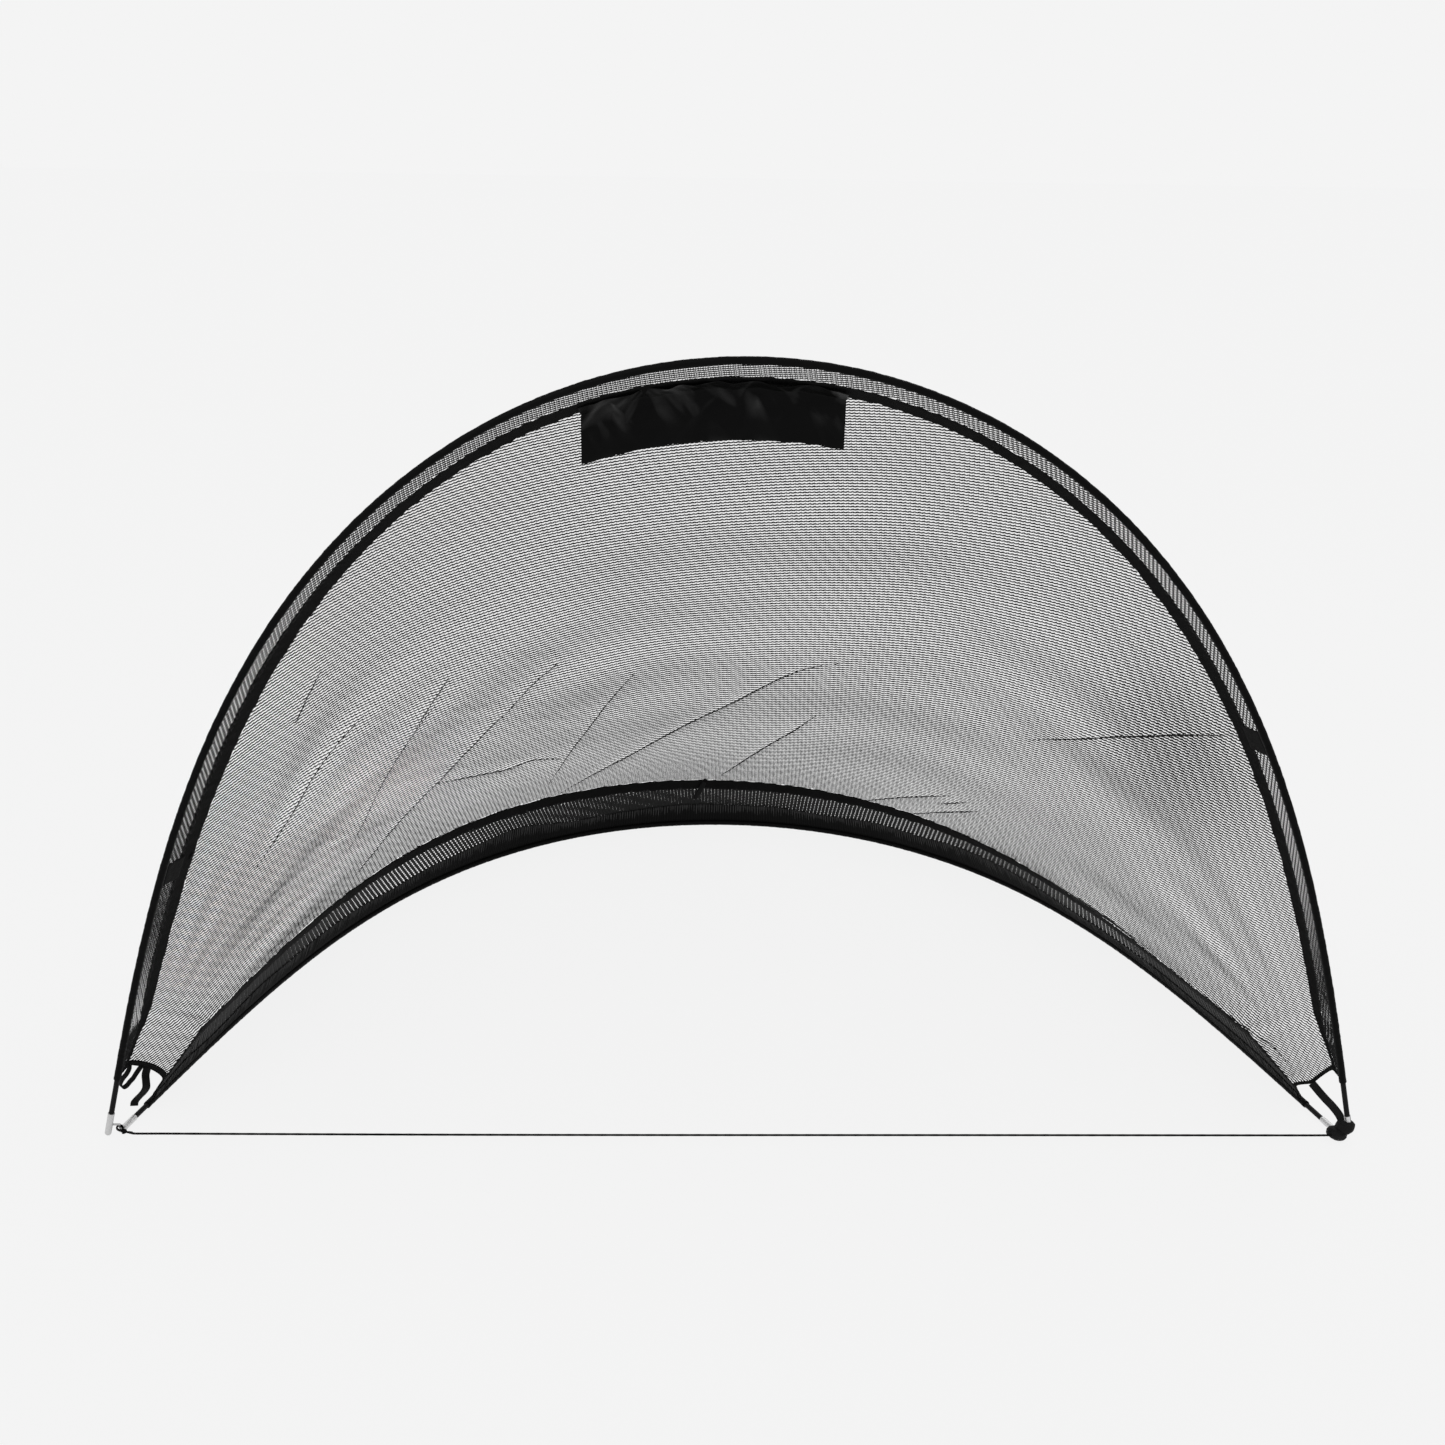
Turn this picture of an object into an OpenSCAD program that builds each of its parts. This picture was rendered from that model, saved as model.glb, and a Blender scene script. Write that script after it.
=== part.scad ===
// Folding practice goal: two sprung hoops in cloth sleeves, hinged at the two
// corners, with a mesh net between them. Millimetres. +X is to the right as
// seen from in front of the mouth, +Y to the back, +Z up. The origin is on the
// ground, under the middle of the goal.

/* [Hoops] */
// Distance between the two corner hinges
goal_w = 1830; // [1500:10:2000]
// Half of the angle that the front hoop turns through, in degrees
front_turn = 76.2; // [74.5:0.1:78]
// How much the front hoop's bend gathers at its middle
front_full = 0.58; // [0.4:0.02:1.2]
// Half of the angle that the ground hoop turns through, in degrees
ground_turn = 74.7; // [73.5:0.1:76]
// How much the ground hoop's bend gathers at its middle
ground_full = 1.93; // [1.4:0.01:2.2]
// How far the ground hoop is set in at each side, so that the hoops nest
ground_inset = 15; // [13:1:20]
// Forward lean of the open front hoop, in degrees
front_lean = 2; // [0:0.5:4]
// Diameter of the hoop rods
rod_d = 8; // [7:0.5:8]
// Outer diameter of the cloth sleeves
sleeve_d = 11.2; // [10.8:0.1:12]
// Length of bare rod and ferrule at each end of a hoop
bare_len = 80; // [76:1:90]

/* [Corners] */
// Height of the corner hinges above the ground
hinge_z = 20; // [20:0.5:24]
// Outer diameter of the rod ferrules
ferrule_d = 9.6; // [9.4:0.1:10]
// Diameter of the wire link and of the corner pin
pin_d = 3; // [2:0.1:3.2]
// Diameter of the ground cord
cord_d = 3; // [2:0.1:3.2]

/* [Net] */
// Width of the front border with its tape, from the rod's centre
border_w = 80; // [70:1:84]
// Width of the binding tape on the front border
border_tape_w = 31; // [24:1:34]
// Height of the ground band with its tape, from the rod's centre
band_w = 110; // [95:1:112]
// Width of the binding tape on the ground band
band_tape_w = 23; // [18:1:26]
// Width of the gathered hem at the band's foot, from the rod's centre
hem_w = 30; // [24:1:34]
// How far the net bags inward at its middle
net_sag = 20; // [5:5:60]
// Thickness of the net
net_t = 1.2; // [0.8:0.1:1.4]
// Thickness of the binding tapes
tape_t = 1.6; // [1.2:0.1:2]

/* [Banner] */
// Width of the cloth field at the top of the mouth
banner_w = 345; // [280:5:360]
// Height of the cloth field
banner_h = 78; // [60:2:110]

/* [Hidden] */
$fn = 48;

arcs = 16;                       // arcs in each hoop, all the same length
hw = goal_w / 2;
gw = hw - ground_inset;
hinge_y = -569;                  // the corner hinges' line
ground_y = hinge_y + 12;         // where the ground hoop starts
sr = sleeve_d / 2;
gap = 0.35;                      // clearance between neighbouring cloth pieces

// ---------------------------------------------------------------- hoop curve
// Heading along a hoop, u from 0 at the left end to 1 at the right end. The
// bend grows from nothing at the ends to its largest at the middle.
function bend(u, c) = 1 - cos(180 * u) + c * (2 / 3 - cos(180 * u) + pow(cos(180 * u), 3) / 3);
function heading(u, a, c) = a - 2 * a * bend(u, c) / (2 + 4 * c / 3);
function chord(d) = abs(d) < 0.0001 ? 1 : sin(d / 2) / (d / 2 * PI / 180);
function heads(a, c) = [for (i = [0:arcs]) heading(i / arcs, a, c)];
function steps(h) = [for (i = [0:arcs - 1]) let (m = (h[i] + h[i + 1]) / 2) chord(h[i] - h[i + 1]) * [cos(m), sin(m)]];
function total(v, i = 0) = i == len(v) ? [0, 0] : v[i] + total(v, i + 1);
function part_sum(v, n, i = 0) = i >= n ? [0, 0] : v[i] + part_sum(v, n, i + 1);
function hoop(a, c, half) =
    let (h = heads(a, c), st = steps(h), s = 2 * half / total(st)[0])
    [h, [for (i = [0:arcs]) [-half, 0] + s * part_sum(st, i)], s];

FRONT = hoop(front_turn, front_full, hw);
GROUND = hoop(ground_turn, ground_full, gw);

// Point and heading of a hoop at u.
function cell(u) = min(arcs - 1, max(0, floor(u * arcs)));
function hd(t, u) = let (i = cell(u), f = u * arcs - i) t[0][i] - f * (t[0][i] - t[0][i + 1]);
function pt(t, u) =
    let (i = cell(u), f = u * arcs - i, d = f * (t[0][i] - t[0][i + 1]), m = t[0][i] - d / 2)
    t[1][i] + t[2] * f * chord(d) * [cos(m), sin(m)];

front_dir = [0, cos(90 + front_lean), sin(90 + front_lean)];
front_back = [0, sin(90 + front_lean), -cos(90 + front_lean)];
function in_front(p) = [0, hinge_y, hinge_z] + p[0] * [1, 0, 0] + p[1] * front_dir;
function in_ground(p) = [p[0], ground_y + p[1], sr];
function front_pt(u) = in_front(pt(FRONT, u));
function ground_pt(u) = in_ground(pt(GROUND, u));
function front_in(u) = let (h = hd(FRONT, u)) sin(h) * [1, 0, 0] - cos(h) * front_dir;
function ground_in(u) = let (h = hd(GROUND, u)) [sin(h), -cos(h), 0];

u_end = bare_len / (arcs * FRONT[2]);
u_end_g = bare_len / (arcs * GROUND[2]);
// The ground hoop's cloth reaches nearer to the corners than the front's.
ground_extra = [13, 5];
x_left = ground_extra[0] / (arcs * GROUND[2]);
x_right = ground_extra[1] / (arcs * GROUND[2]);

// -------------------------------------------------------------- hoop tubes
// Ring of n points round a hoop at u, in the front hoop (1) or ground hoop (0).
function ring(f, u, r, n) =
    let (c = f ? front_pt(u) : ground_pt(u), a = f ? front_in(u) : ground_in(u),
         b = f ? -front_back : [0, 0, 1])
    [for (k = [0:n - 1]) c + r * (cos(360 * k / n) * a + sin(360 * k / n) * b)];
function skin_out(n, m) = concat(
    [for (i = [0:m - 2]) for (k = [0:n - 1]) [i * n + k, i * n + (k + 1) % n, (i + 1) * n + (k + 1) % n]],
    [for (i = [0:m - 2]) for (k = [0:n - 1]) [i * n + k, (i + 1) * n + (k + 1) % n, (i + 1) * n + k]]);
// Solid bar through the stations U.
module bar_along(f, U, r, n) {
    m = len(U);
    polyhedron(points = [for (u = U) each ring(f, u, r, n)], faces = concat(skin_out(n, m),
        [[for (k = [0:n - 1]) n - 1 - k]], [[for (k = [0:n - 1]) (m - 1) * n + k]]));
}
// Tube with an open bore through the stations U.
module tube_along(f, U, r, ri, n) {
    m = len(U);
    q = n * m;
    e = (m - 1) * n;
    polyhedron(points = concat([for (u = U) each ring(f, u, r, n)], [for (u = U) each ring(f, u, ri, n)]),
        faces = concat(skin_out(n, m),
        [for (t = skin_out(n, m)) [q + t[0], q + t[2], q + t[1]]],
        [for (k = [0:n - 1]) [k, q + k, q + (k + 1) % n]],
        [for (k = [0:n - 1]) [k, q + (k + 1) % n, (k + 1) % n]],
        [for (k = [0:n - 1]) [e + k, e + (k + 1) % n, q + e + (k + 1) % n]],
        [for (k = [0:n - 1]) [e + k, q + e + (k + 1) % n, q + e + k]]));
}
// Stations of a hoop's sleeve, and of its rod, which starts at s0.
hoop_cells = 60;
function sleeve_us(e, l = 0, r = 0) = [for (i = [0:hoop_cells]) e - l + (1 - 2 * e + l + r) * i / hoop_cells];
function rod_us(e, e0, l = 0, r = 0) = concat([e0], sleeve_us(e, l, r), [1 - e0]);

module place_front() translate([0, hinge_y, hinge_z]) rotate([90 + front_lean, 0, 0]) children();
module place_ground() translate([0, ground_y, sr]) children();

front_len = arcs * FRONT[2];
ground_len = arcs * GROUND[2];

// Along a hoop's end, +Z from the hinge end into the hoop.
module end_left(t) translate([t[1][0][0], t[1][0][1], 0]) rotate([0, 0, t[0][0]]) rotate([0, 90, 0]) children();
module end_right(t) mirror([1, 0, 0]) end_left(t) children();

// ------------------------------------------------------------- cloth slabs
function unit(v) = v / max(norm(v), 0.000001);
function normal_at(P, i, j) =
    let (n = len(P) - 1, m = len(P[0]) - 1,
         a = P[min(n, i + 1)][j] - P[max(0, i - 1)][j],
         b = P[i][min(m, j + 1)] - P[i][max(0, j - 1)])
    unit(cross(a, b));
// Closed solid of thickness th round the middle surface P[i][j].
module slab(P, th) {
    n = len(P) - 1;
    m = len(P[0]) - 1;
    w = m + 1;
    k = (n + 1) * w;
    top = [for (i = [0:n]) for (j = [0:m]) P[i][j] + normal_at(P, i, j) * th / 2];
    low = [for (i = [0:n]) for (j = [0:m]) P[i][j] - normal_at(P, i, j) * th / 2];
    polyhedron(points = concat(top, low), faces = concat(
        [for (i = [0:n - 1]) for (j = [0:m - 1]) [i * w + j, i * w + j + 1, (i + 1) * w + j + 1]],
        [for (i = [0:n - 1]) for (j = [0:m - 1]) [i * w + j, (i + 1) * w + j + 1, (i + 1) * w + j]],
        [for (i = [0:n - 1]) for (j = [0:m - 1]) [k + i * w + j, k + (i + 1) * w + j + 1, k + i * w + j + 1]],
        [for (i = [0:n - 1]) for (j = [0:m - 1]) [k + i * w + j, k + (i + 1) * w + j, k + (i + 1) * w + j + 1]],
        [for (i = [0:n - 1]) [i * w, (i + 1) * w, k + (i + 1) * w]],
        [for (i = [0:n - 1]) [i * w, k + (i + 1) * w, k + i * w]],
        [for (i = [0:n - 1]) [i * w + m, k + (i + 1) * w + m, (i + 1) * w + m]],
        [for (i = [0:n - 1]) [i * w + m, k + i * w + m, k + (i + 1) * w + m]],
        [for (j = [0:m - 1]) [j, k + j + 1, j + 1]],
        [for (j = [0:m - 1]) [j, k + j, k + j + 1]],
        [for (j = [0:m - 1]) [n * w + j, n * w + j + 1, k + n * w + j + 1]],
        [for (j = [0:m - 1]) [n * w + j, k + n * w + j + 1, k + n * w + j]]));
}

// --------------------------------------------------------------- net surface
// The net leaves the front sleeve nearly straight back at the sides and less
// so at the top; the ground band stands on the ground sleeve, leaning inward.
function smooth(x) = let (t = min(1, max(0, x))) t * t * (3 - 2 * t);
function corner_share(u) = 0.40 + 0.60 * smooth((min(u, 1 - u) - u_end) / 0.028);
function border_slant(u) = 54 + 30 * pow(1 - sin(180 * u), 0.7) - 8 * sin(360 * u) * (1 - sin(180 * u));
function band_slant(u) = 58 + 16 * pow(sin(180 * u), 3) + 8 * sin(360 * u);
function border_dir(u) = let (p = border_slant(u)) cos(p) * front_in(u) + sin(p) * front_back;
function band_dir(u) = let (p = band_slant(u)) cos(p) * ground_in(u) + sin(p) * [0, 0, 1];
function past_sleeve(a, u) = sr + gap + (a - sr - gap) * corner_share(u);
function border_pt(u, a) = front_pt(u) + past_sleeve(a, u) * border_dir(u);
function past_ends(u) = (u - u_end) / (1 - 2 * u_end);
function ground_u(u) = let (x = min(1, max(0, past_ends(u)))) u - x_left * pow(1 - x, 8) + x_right * pow(x, 8);
function band_pt(u, b) = let (w = ground_u(u)) ground_pt(w) + past_sleeve(b, u) * band_dir(w);
sag_to = [0, hinge_y + 150, 150];
function net_pt(u, t) =
    let (a = border_pt(u, border_w + 1.3), b = band_pt(u, band_w + 1.5),
         m = (a + b) / 2, s = net_sag * smooth(norm(b - a) / 900))
    (1 - t) * a + t * b + 4 * t * (1 - t) * s * unit(sag_to - m);

// Stations along the hoops, closer together at the corners.
stations = 40;
u_cloth = u_end + 0.0022;
function station(i) = let (x = i / stations) u_cloth + (1 - 2 * u_cloth) * (0.55 * x + 0.45 * (1 - cos(180 * x)) / 2);

// ------------------------------------------------------------------ hard parts
module front_rod() color("#1b1b1c") bar_along(1, rod_us(u_end, 5 / front_len), rod_d / 2, 12);

module front_sleeve() color("#111112") tube_along(1, sleeve_us(u_end), sr, rod_d / 2 + 0.35, 14);

module ground_rod() color("#1b1b1c") bar_along(0, rod_us(u_end_g, 12.5 / ground_len, x_left, x_right), rod_d / 2, 12);

module ground_sleeve() color("#111112") tube_along(0, sleeve_us(u_end_g, x_left, x_right), sr, rod_d / 2 + 0.35, 14);

// Tube with a round lower end, a socket for the rod and a cross hole for the
// link wire.
module front_ferrule_left() color("#c4c4c4") place_front() difference() {
    end_left(FRONT) difference() {
        union() {
            translate([0, 0, ferrule_d / 2 - 18.5]) cylinder(d = ferrule_d, h = 38.5 - ferrule_d / 2);
            translate([0, 0, ferrule_d / 2 - 18.5]) sphere(d = ferrule_d);
            translate([0, 0, 18]) cylinder(d = ferrule_d + 0.5, h = 2);
        }
        translate([0, 0, 4.6]) cylinder(d = rod_d + 0.2, h = 20);
    }
    translate([-hw - 20, 0, 0]) rotate([0, 90, 0]) cylinder(d = pin_d + 0.1, h = 40);
}

// Shorter ferrule whose upper end is slit into four prongs.
module front_ferrule_right() color("#d6d6d8") place_front() difference() {
    end_right(FRONT) difference() {
        union() {
            translate([0, 0, ferrule_d / 2 - 12]) cylinder(d = ferrule_d, h = 32 - ferrule_d / 2);
            translate([0, 0, ferrule_d / 2 - 12]) sphere(d = ferrule_d);
        }
        translate([0, 0, 4.6]) cylinder(d = rod_d + 0.2, h = 20);
        for (q = [45, 135]) rotate([0, 0, q]) translate([-10, -0.7, 9]) cube([20, 1.4, 12]);
    }
    translate([hw - 20, 0, 0]) rotate([0, 90, 0]) cylinder(d = pin_d + 0.1, h = 40);
}

module ground_ferrule_left() color("#bcbcbe") place_ground() end_left(GROUND) difference() {
    union() {
        translate([0, 0, 2]) cylinder(d = ferrule_d - 0.2, h = 30);
        translate([0, 0, 2]) cylinder(d = ferrule_d + 0.6, h = 2.5);
    }
    translate([0, 0, 12]) cylinder(d = rod_d + 0.2, h = 21);
    translate([0, 0, 1]) cylinder(d = pin_d + 0.1, h = 10);
}

// Slotted tube with a solid end block that the corner boot holds.
module ground_ferrule_right() color("#b4b4b6") place_ground() end_right(GROUND) difference() {
    union() {
        translate([0, 0, -1]) cylinder(d = ferrule_d, h = 6);
        translate([0, 0, 4]) cylinder(d = ferrule_d - 0.2, h = 28);
    }
    translate([0, 0, 12]) cylinder(d = rod_d + 0.2, h = 21);
    for (z = [14, 18, 22, 26]) translate([-6, 1.2, z]) cube([12, 6, 1.5]);
}

link_x = -gw - 1.6;
module bar(a, b, d) {
    v = b - a;
    translate(a) rotate([0, acos(v[2] / norm(v)), atan2(v[1], v[0])]) cylinder(d = d, h = norm(v));
}
// Bent wire: through the front ferrule, down, and into the ground ferrule.
module corner_link_left() color("#8c8c90") {
    k = ground_turn;
    c = in_ground([-gw, 0]) - 6 * [cos(k), sin(k), 0];
    d = in_ground([-gw, 0]) + 10.5 * [cos(k), sin(k), 0];
    translate([-hw - 4.6, hinge_y, hinge_z]) rotate([0, 90, 0]) cylinder(d = pin_d, h = link_x + hw + 6.8);
    bar([link_x, hinge_y, hinge_z], c, pin_d - 0.6);
    bar(c - 2.2 * [cos(k), sin(k), 0], d, pin_d - 0.2);
}

module corner_pin_right() color("#8c8c90")
    translate([hw - 18, hinge_y, hinge_z]) rotate([0, 90, 0]) cylinder(d = pin_d, h = 27.5);

// Rubber boot over the right corner joint. Its slot lets the front ferrule
// swing back; its flat sole stands on the ground.
module corner_boot_right() color("#1a1a1b") difference() {
    intersection() {
        translate([hw - 9.5, hinge_y, 14]) sphere(r = 27);
        translate([hw - 31, hinge_y, 16]) rotate([0, 90, 0]) cylinder(r = 19, h = 42);
        translate([hw - 40, hinge_y - 30, 0]) cube([60, 60, 34]);
    }
    translate([hw - 10.2, hinge_y, hinge_z]) rotate([0, 90, 0]) cylinder(r = 13.6, h = 19);
    translate([hw - 10.2, hinge_y - 5.5, hinge_z - 5.5]) cube([19, 40, 40]);
    translate([hw - 18.1, hinge_y, hinge_z]) rotate([0, 90, 0]) cylinder(d = pin_d + 0.1, h = 27.7);
    place_ground() end_right(GROUND) translate([0, 0, -1.2]) cylinder(d = ferrule_d + 0.3, h = 30);
    translate([hw - 40, cord_y, cord_z]) rotate([0, 90, 0]) cylinder(d = cord_d + 0.6, h = 22);
}

// Cord along the ground between the corners, tied round the left link.
cord_z = 11;
cord_y = hinge_y - 10;
module ground_cord() color("#0f0f10") {
    x1 = hw - 18.6;
    k = [link_x, hinge_y + 3, 12.3];
    j = [link_x + 6.6, hinge_y - 0.5, 8.6];
    e = [link_x + 24, cord_y, cord_z];
    bar(e, [x1, cord_y, cord_z], cord_d);
    translate(e) sphere(d = cord_d + 0.2);
    bar(j, e, cord_d);
    translate(j) sphere(r = 3.8);
    translate(k) rotate([20, 25, 0]) rotate_extrude() translate([4.1, 0]) circle(d = cord_d);
}

// ---------------------------------------------------------------- cloth parts
function across(lo, hi, n, j) = lo + (hi - lo) * j / n;
function border_grid(lo, hi, m) = [for (i = [0:stations]) let (u = station(i)) [for (j = [0:m]) border_pt(u, across(lo, hi, m, j))]];
function band_grid(lo, hi, m) = [for (i = [0:stations]) let (u = station(i)) [for (j = [0:m]) band_pt(u, across(lo, hi, m, j))]];

module front_border() color("#2b2b2c") slab(border_grid(sr + gap, border_w - border_tape_w - gap, 3), net_t);
module front_tape() color("#151516") slab(border_grid(border_w - border_tape_w, border_w, 2), tape_t);
module net_panel() color("#8f8f90") slab([for (i = [0:stations]) let (u = station(i)) [for (j = [0:12]) net_pt(u, j / 12)]], net_t);
module band_tape() color("#151516") slab(band_grid(band_w - band_tape_w, band_w, 2), tape_t);
module ground_band() color("#3a3a3b") slab(band_grid(hem_w + gap, band_w - band_tape_w - gap, 3), net_t);
module ground_hem() color("#1c1c1d") slab(band_grid(sr + gap, hem_w, 2), tape_t + 0.6);

// Point on the net's end line, k from 0 at the front sleeve to 1 at the
// ground sleeve, shifted by v along the hoops.
function end_pt(u, k) =
    k < 0.3 ? border_pt(u, sr + gap + (border_w - sr - gap) * k / 0.3)
    : k > 0.66 ? band_pt(u, band_w - (band_w - sr - gap) * (k - 0.66) / 0.34)
    : net_pt(u, (k - 0.3) / 0.36);
module binding(side) {
    u0 = u_end + 0.0003;
    u1 = u_cloth - gap / front_len;
    slab([for (i = [0:24]) [for (j = [0:1])
        let (u = u0 + (u1 - u0) * j) end_pt(side < 0 ? u : 1 - u, i / 24)]], tape_t + 0.8);
}
module corner_binding_left() color("#131314") binding(-1);
module corner_binding_right() color("#131314") binding(1);

// Flat strap along the route R, width w in the direction across.
module strap(R, side, w, th) slab([for (i = [0:len(R) - 1]) [R[i] - unit(side[i]) * w / 2, R[i] + unit(side[i]) * w / 2]], th);
function near_corner(s, v) = [s * (hw - v[0]), hinge_y + v[1], v[2]];

module corner_strap_left() color("#161617") {
    R = [for (v = [[28, 31, 90], [23.8, 26.7, 88], [19.4, 23.7, 84], [15.5, 22.9, 77.4], [13.6, 25.3, 69.5], [15, 30.6, 63.5],
                   [19.3, 34.6, 64.2], [24, 37.6, 69.4], [28.6, 40, 74], [32.6, 42, 77.5]]) near_corner(-1, v)];
    strap(R, [for (v = R) [0.75, -0.6, -0.35]], 8, 1.2);
}
module corner_tail_left() color("#161617") {
    R = [for (v = [[41.5, 50, 70], [45, 44, 65], [45.5, 41.5, 57], [38.5, 47, 45], [28.5, 54, 32.5], [21.5, 58, 23], [20, 57, 16.5]]) near_corner(-1, v)];
    strap(R, [for (v = R) [0.8, 0.5, -0.3]], 12, 1.2);
}
module corner_strap_right() color("#202021") {
    R = [for (v = [[47, 76, 51.5], [41, 66, 50], [35, 56, 47.5], [29, 45, 44.5], [22, 32, 41], [15, 19.5, 37]]) near_corner(1, v)];
    strap(R, [for (v = R) [0.76, 0.2, 0.61]], 10.5, 1.4);
}

// Cloth patches on the inside of the border.
function inward(P, off) = [for (i = [0:len(P) - 1]) [for (j = [0:len(P[0]) - 1]) P[i][j] - normal_at(P, i, j) * off]];
module border_patch(uc, len, lo, hi) slab(inward([for (i = [0:4]) [for (j = [0:2])
    border_pt(uc + (i / 4 - 0.5) * len / front_len, across(lo, hi, 2, j))]], net_t / 2 + 1.9), 0.9);
module border_patch_left() color("#1f1f20") border_patch(0.133, 36, 9, border_w - border_tape_w - 1);
module border_patch_right() color("#1a1a1b") border_patch(0.795, 40, 9, border_w - border_tape_w - 1);
module patch_tab_left() color("#121213") slab(inward([for (i = [0:2]) let (w = [5, 4.2, 1.2][i]) [for (j = [0:1])
    border_pt(0.136 + (i - 1) * 5 / front_len, border_w - 9 + (2 * j - 1) * w)]], tape_t / 2 + 1.7), 0.9);

// Plain cloth field sewn to the inside of the front tape; it hangs nearly
// upright in front of the net. Its top follows the tape's curve, so it takes
// a little more length of hoop than its own width.
banner_u = 0.484;
banner_arc = banner_w * 1.085;
module banner() color("#161617") slab(inward([for (i = [0:12]) let (u = banner_u + (i / 12 - 0.5) * banner_arc / front_len)
    [for (j = [0:8]) let (d = banner_h * j / 8)
        d < 8 ? border_pt(u, border_w - 8 + d) : border_pt(u, border_w) + (d - 8) * unit([0, 0.1, -1])]], 2.6), 1);

// Knotted tie on the inside of the ground band's tape.
module centre_tie() color("#0f0f10") {
    u = 0.488;
    translate(band_pt(u, band_w)) rotate([0, 0, hd(GROUND, u)]) rotate([90 - band_slant(u), 0, 0]) rotate([0, 17, 0]) {
        translate([-4, -tape_t / 2 - 3.4, -46]) cube([8, 1.2, 40]);
        translate([0, -tape_t / 2 - 5.6, -8]) sphere(r = 3.8);
    }
}

front_rod();
front_sleeve();
front_ferrule_left();
front_ferrule_right();
ground_rod();
ground_sleeve();
ground_ferrule_left();
ground_ferrule_right();
corner_link_left();
corner_pin_right();
corner_boot_right();
ground_cord();
front_border();
front_tape();
net_panel();
band_tape();
ground_band();
ground_hem();
corner_binding_left();
corner_binding_right();
corner_strap_left();
corner_tail_left();
corner_strap_right();
border_patch_left();
patch_tab_left();
border_patch_right();
banner();
centre_tie();
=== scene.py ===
import math
import bmesh
import bpy
import numpy as np
from mathutils import Matrix, Vector


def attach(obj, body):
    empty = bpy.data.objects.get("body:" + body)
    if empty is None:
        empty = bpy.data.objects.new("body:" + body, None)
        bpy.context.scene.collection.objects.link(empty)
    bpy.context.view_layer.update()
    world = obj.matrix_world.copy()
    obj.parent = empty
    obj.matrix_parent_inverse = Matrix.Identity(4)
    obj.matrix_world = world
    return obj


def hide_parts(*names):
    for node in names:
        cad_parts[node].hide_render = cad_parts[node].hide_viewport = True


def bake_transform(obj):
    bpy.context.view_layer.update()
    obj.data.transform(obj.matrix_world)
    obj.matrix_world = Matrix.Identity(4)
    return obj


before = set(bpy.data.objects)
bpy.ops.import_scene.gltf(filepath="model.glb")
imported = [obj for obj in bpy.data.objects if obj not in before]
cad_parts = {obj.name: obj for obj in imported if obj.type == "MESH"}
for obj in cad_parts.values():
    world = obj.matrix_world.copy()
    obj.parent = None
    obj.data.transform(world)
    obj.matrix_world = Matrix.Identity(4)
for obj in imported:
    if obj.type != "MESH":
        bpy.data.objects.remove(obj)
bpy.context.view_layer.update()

MM = 0.001
D2R = math.pi / 180
rng = np.random.default_rng(7)


# ------------------------------------------------------------------ camera
def make_camera():
    yaw, pitch, roll = 1.619 * D2R, 19.975 * D2R, 0.971 * D2R
    f = Vector((math.sin(yaw) * math.cos(pitch), math.cos(yaw) * math.cos(pitch), -math.sin(pitch)))
    r0 = Vector((math.cos(yaw), -math.sin(yaw), 0))
    u0 = r0.cross(f)
    r = math.cos(roll) * r0 + math.sin(roll) * u0
    u = -math.sin(roll) * r0 + math.cos(roll) * u0
    data = bpy.data.cameras.new("camera")
    data.sensor_fit = "HORIZONTAL"
    data.sensor_width = 36.0
    data.lens = 1877.2 / 1445 * 36.0
    data.clip_start, data.clip_end = 0.05, 60
    cam = bpy.data.objects.new("camera", data)
    bpy.context.scene.collection.objects.link(cam)
    m = Matrix((r, u, -f)).transposed().to_4x4()
    m.translation = Vector((-0.0955, -2.969, 1.5255))
    cam.matrix_world = m
    bpy.context.scene.camera = cam


make_camera()

# ------------------------------------------- shape of the goal, millimetres
HW, GW, HINGE_Y, HINGE_Z, SR = 915.0, 900.0, -569.0, 20.0, 5.6
GROUND_Y = HINGE_Y + 12
GAP, ARCS = 0.35, 16
BORDER_W, TAPE_W, BAND_W, BAND_TAPE_W, HEM_W = 80.0, 31.0, 110.0, 23.0, 30.0
NET_A, NET_B = BORDER_W + 1.3, BAND_W + 1.5


def bend(u, c):
    k = np.cos(np.pi * u)
    return 1 - k + c * (2 / 3 - k + k ** 3 / 3)


def chord(d):
    d = np.asarray(d, float) * D2R / 2
    safe = np.where(np.abs(d) < 1e-7, 1.0, d)
    return np.where(np.abs(d) < 1e-7, 1.0, np.sin(safe) / safe)


def hoop(a, c, half):
    u = np.arange(ARCS + 1) / ARCS
    h = a - 2 * a * bend(u, c) / (2 + 4 * c / 3)
    m = (h[:-1] + h[1:]) / 2 * D2R
    st = chord(h[:-1] - h[1:])[:, None] * np.stack([np.cos(m), np.sin(m)], 1)
    s = 2 * half / st.sum(0)[0]
    return h, np.concatenate([[[0, 0]], np.cumsum(st, 0)]) * s + np.array([-half, 0]), s


FRONT, GROUND = hoop(76.2, 0.58, HW), hoop(74.7, 1.93, GW)
FRONT_LEN, GROUND_LEN = ARCS * FRONT[2], ARCS * GROUND[2]
U_END, U_END_G = 80 / FRONT_LEN, 80 / GROUND_LEN
U_CLOTH = U_END + 0.0022
X_LEFT, X_RIGHT = 13 / GROUND_LEN, 5 / GROUND_LEN


def cell(u):
    i = np.clip(np.floor(u * ARCS).astype(int), 0, ARCS - 1)
    return i, u * ARCS - i


def hd(t, u):
    u = np.asarray(u, float)
    i, f = cell(u)
    return t[0][i] - f * (t[0][i] - t[0][i + 1])


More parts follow.
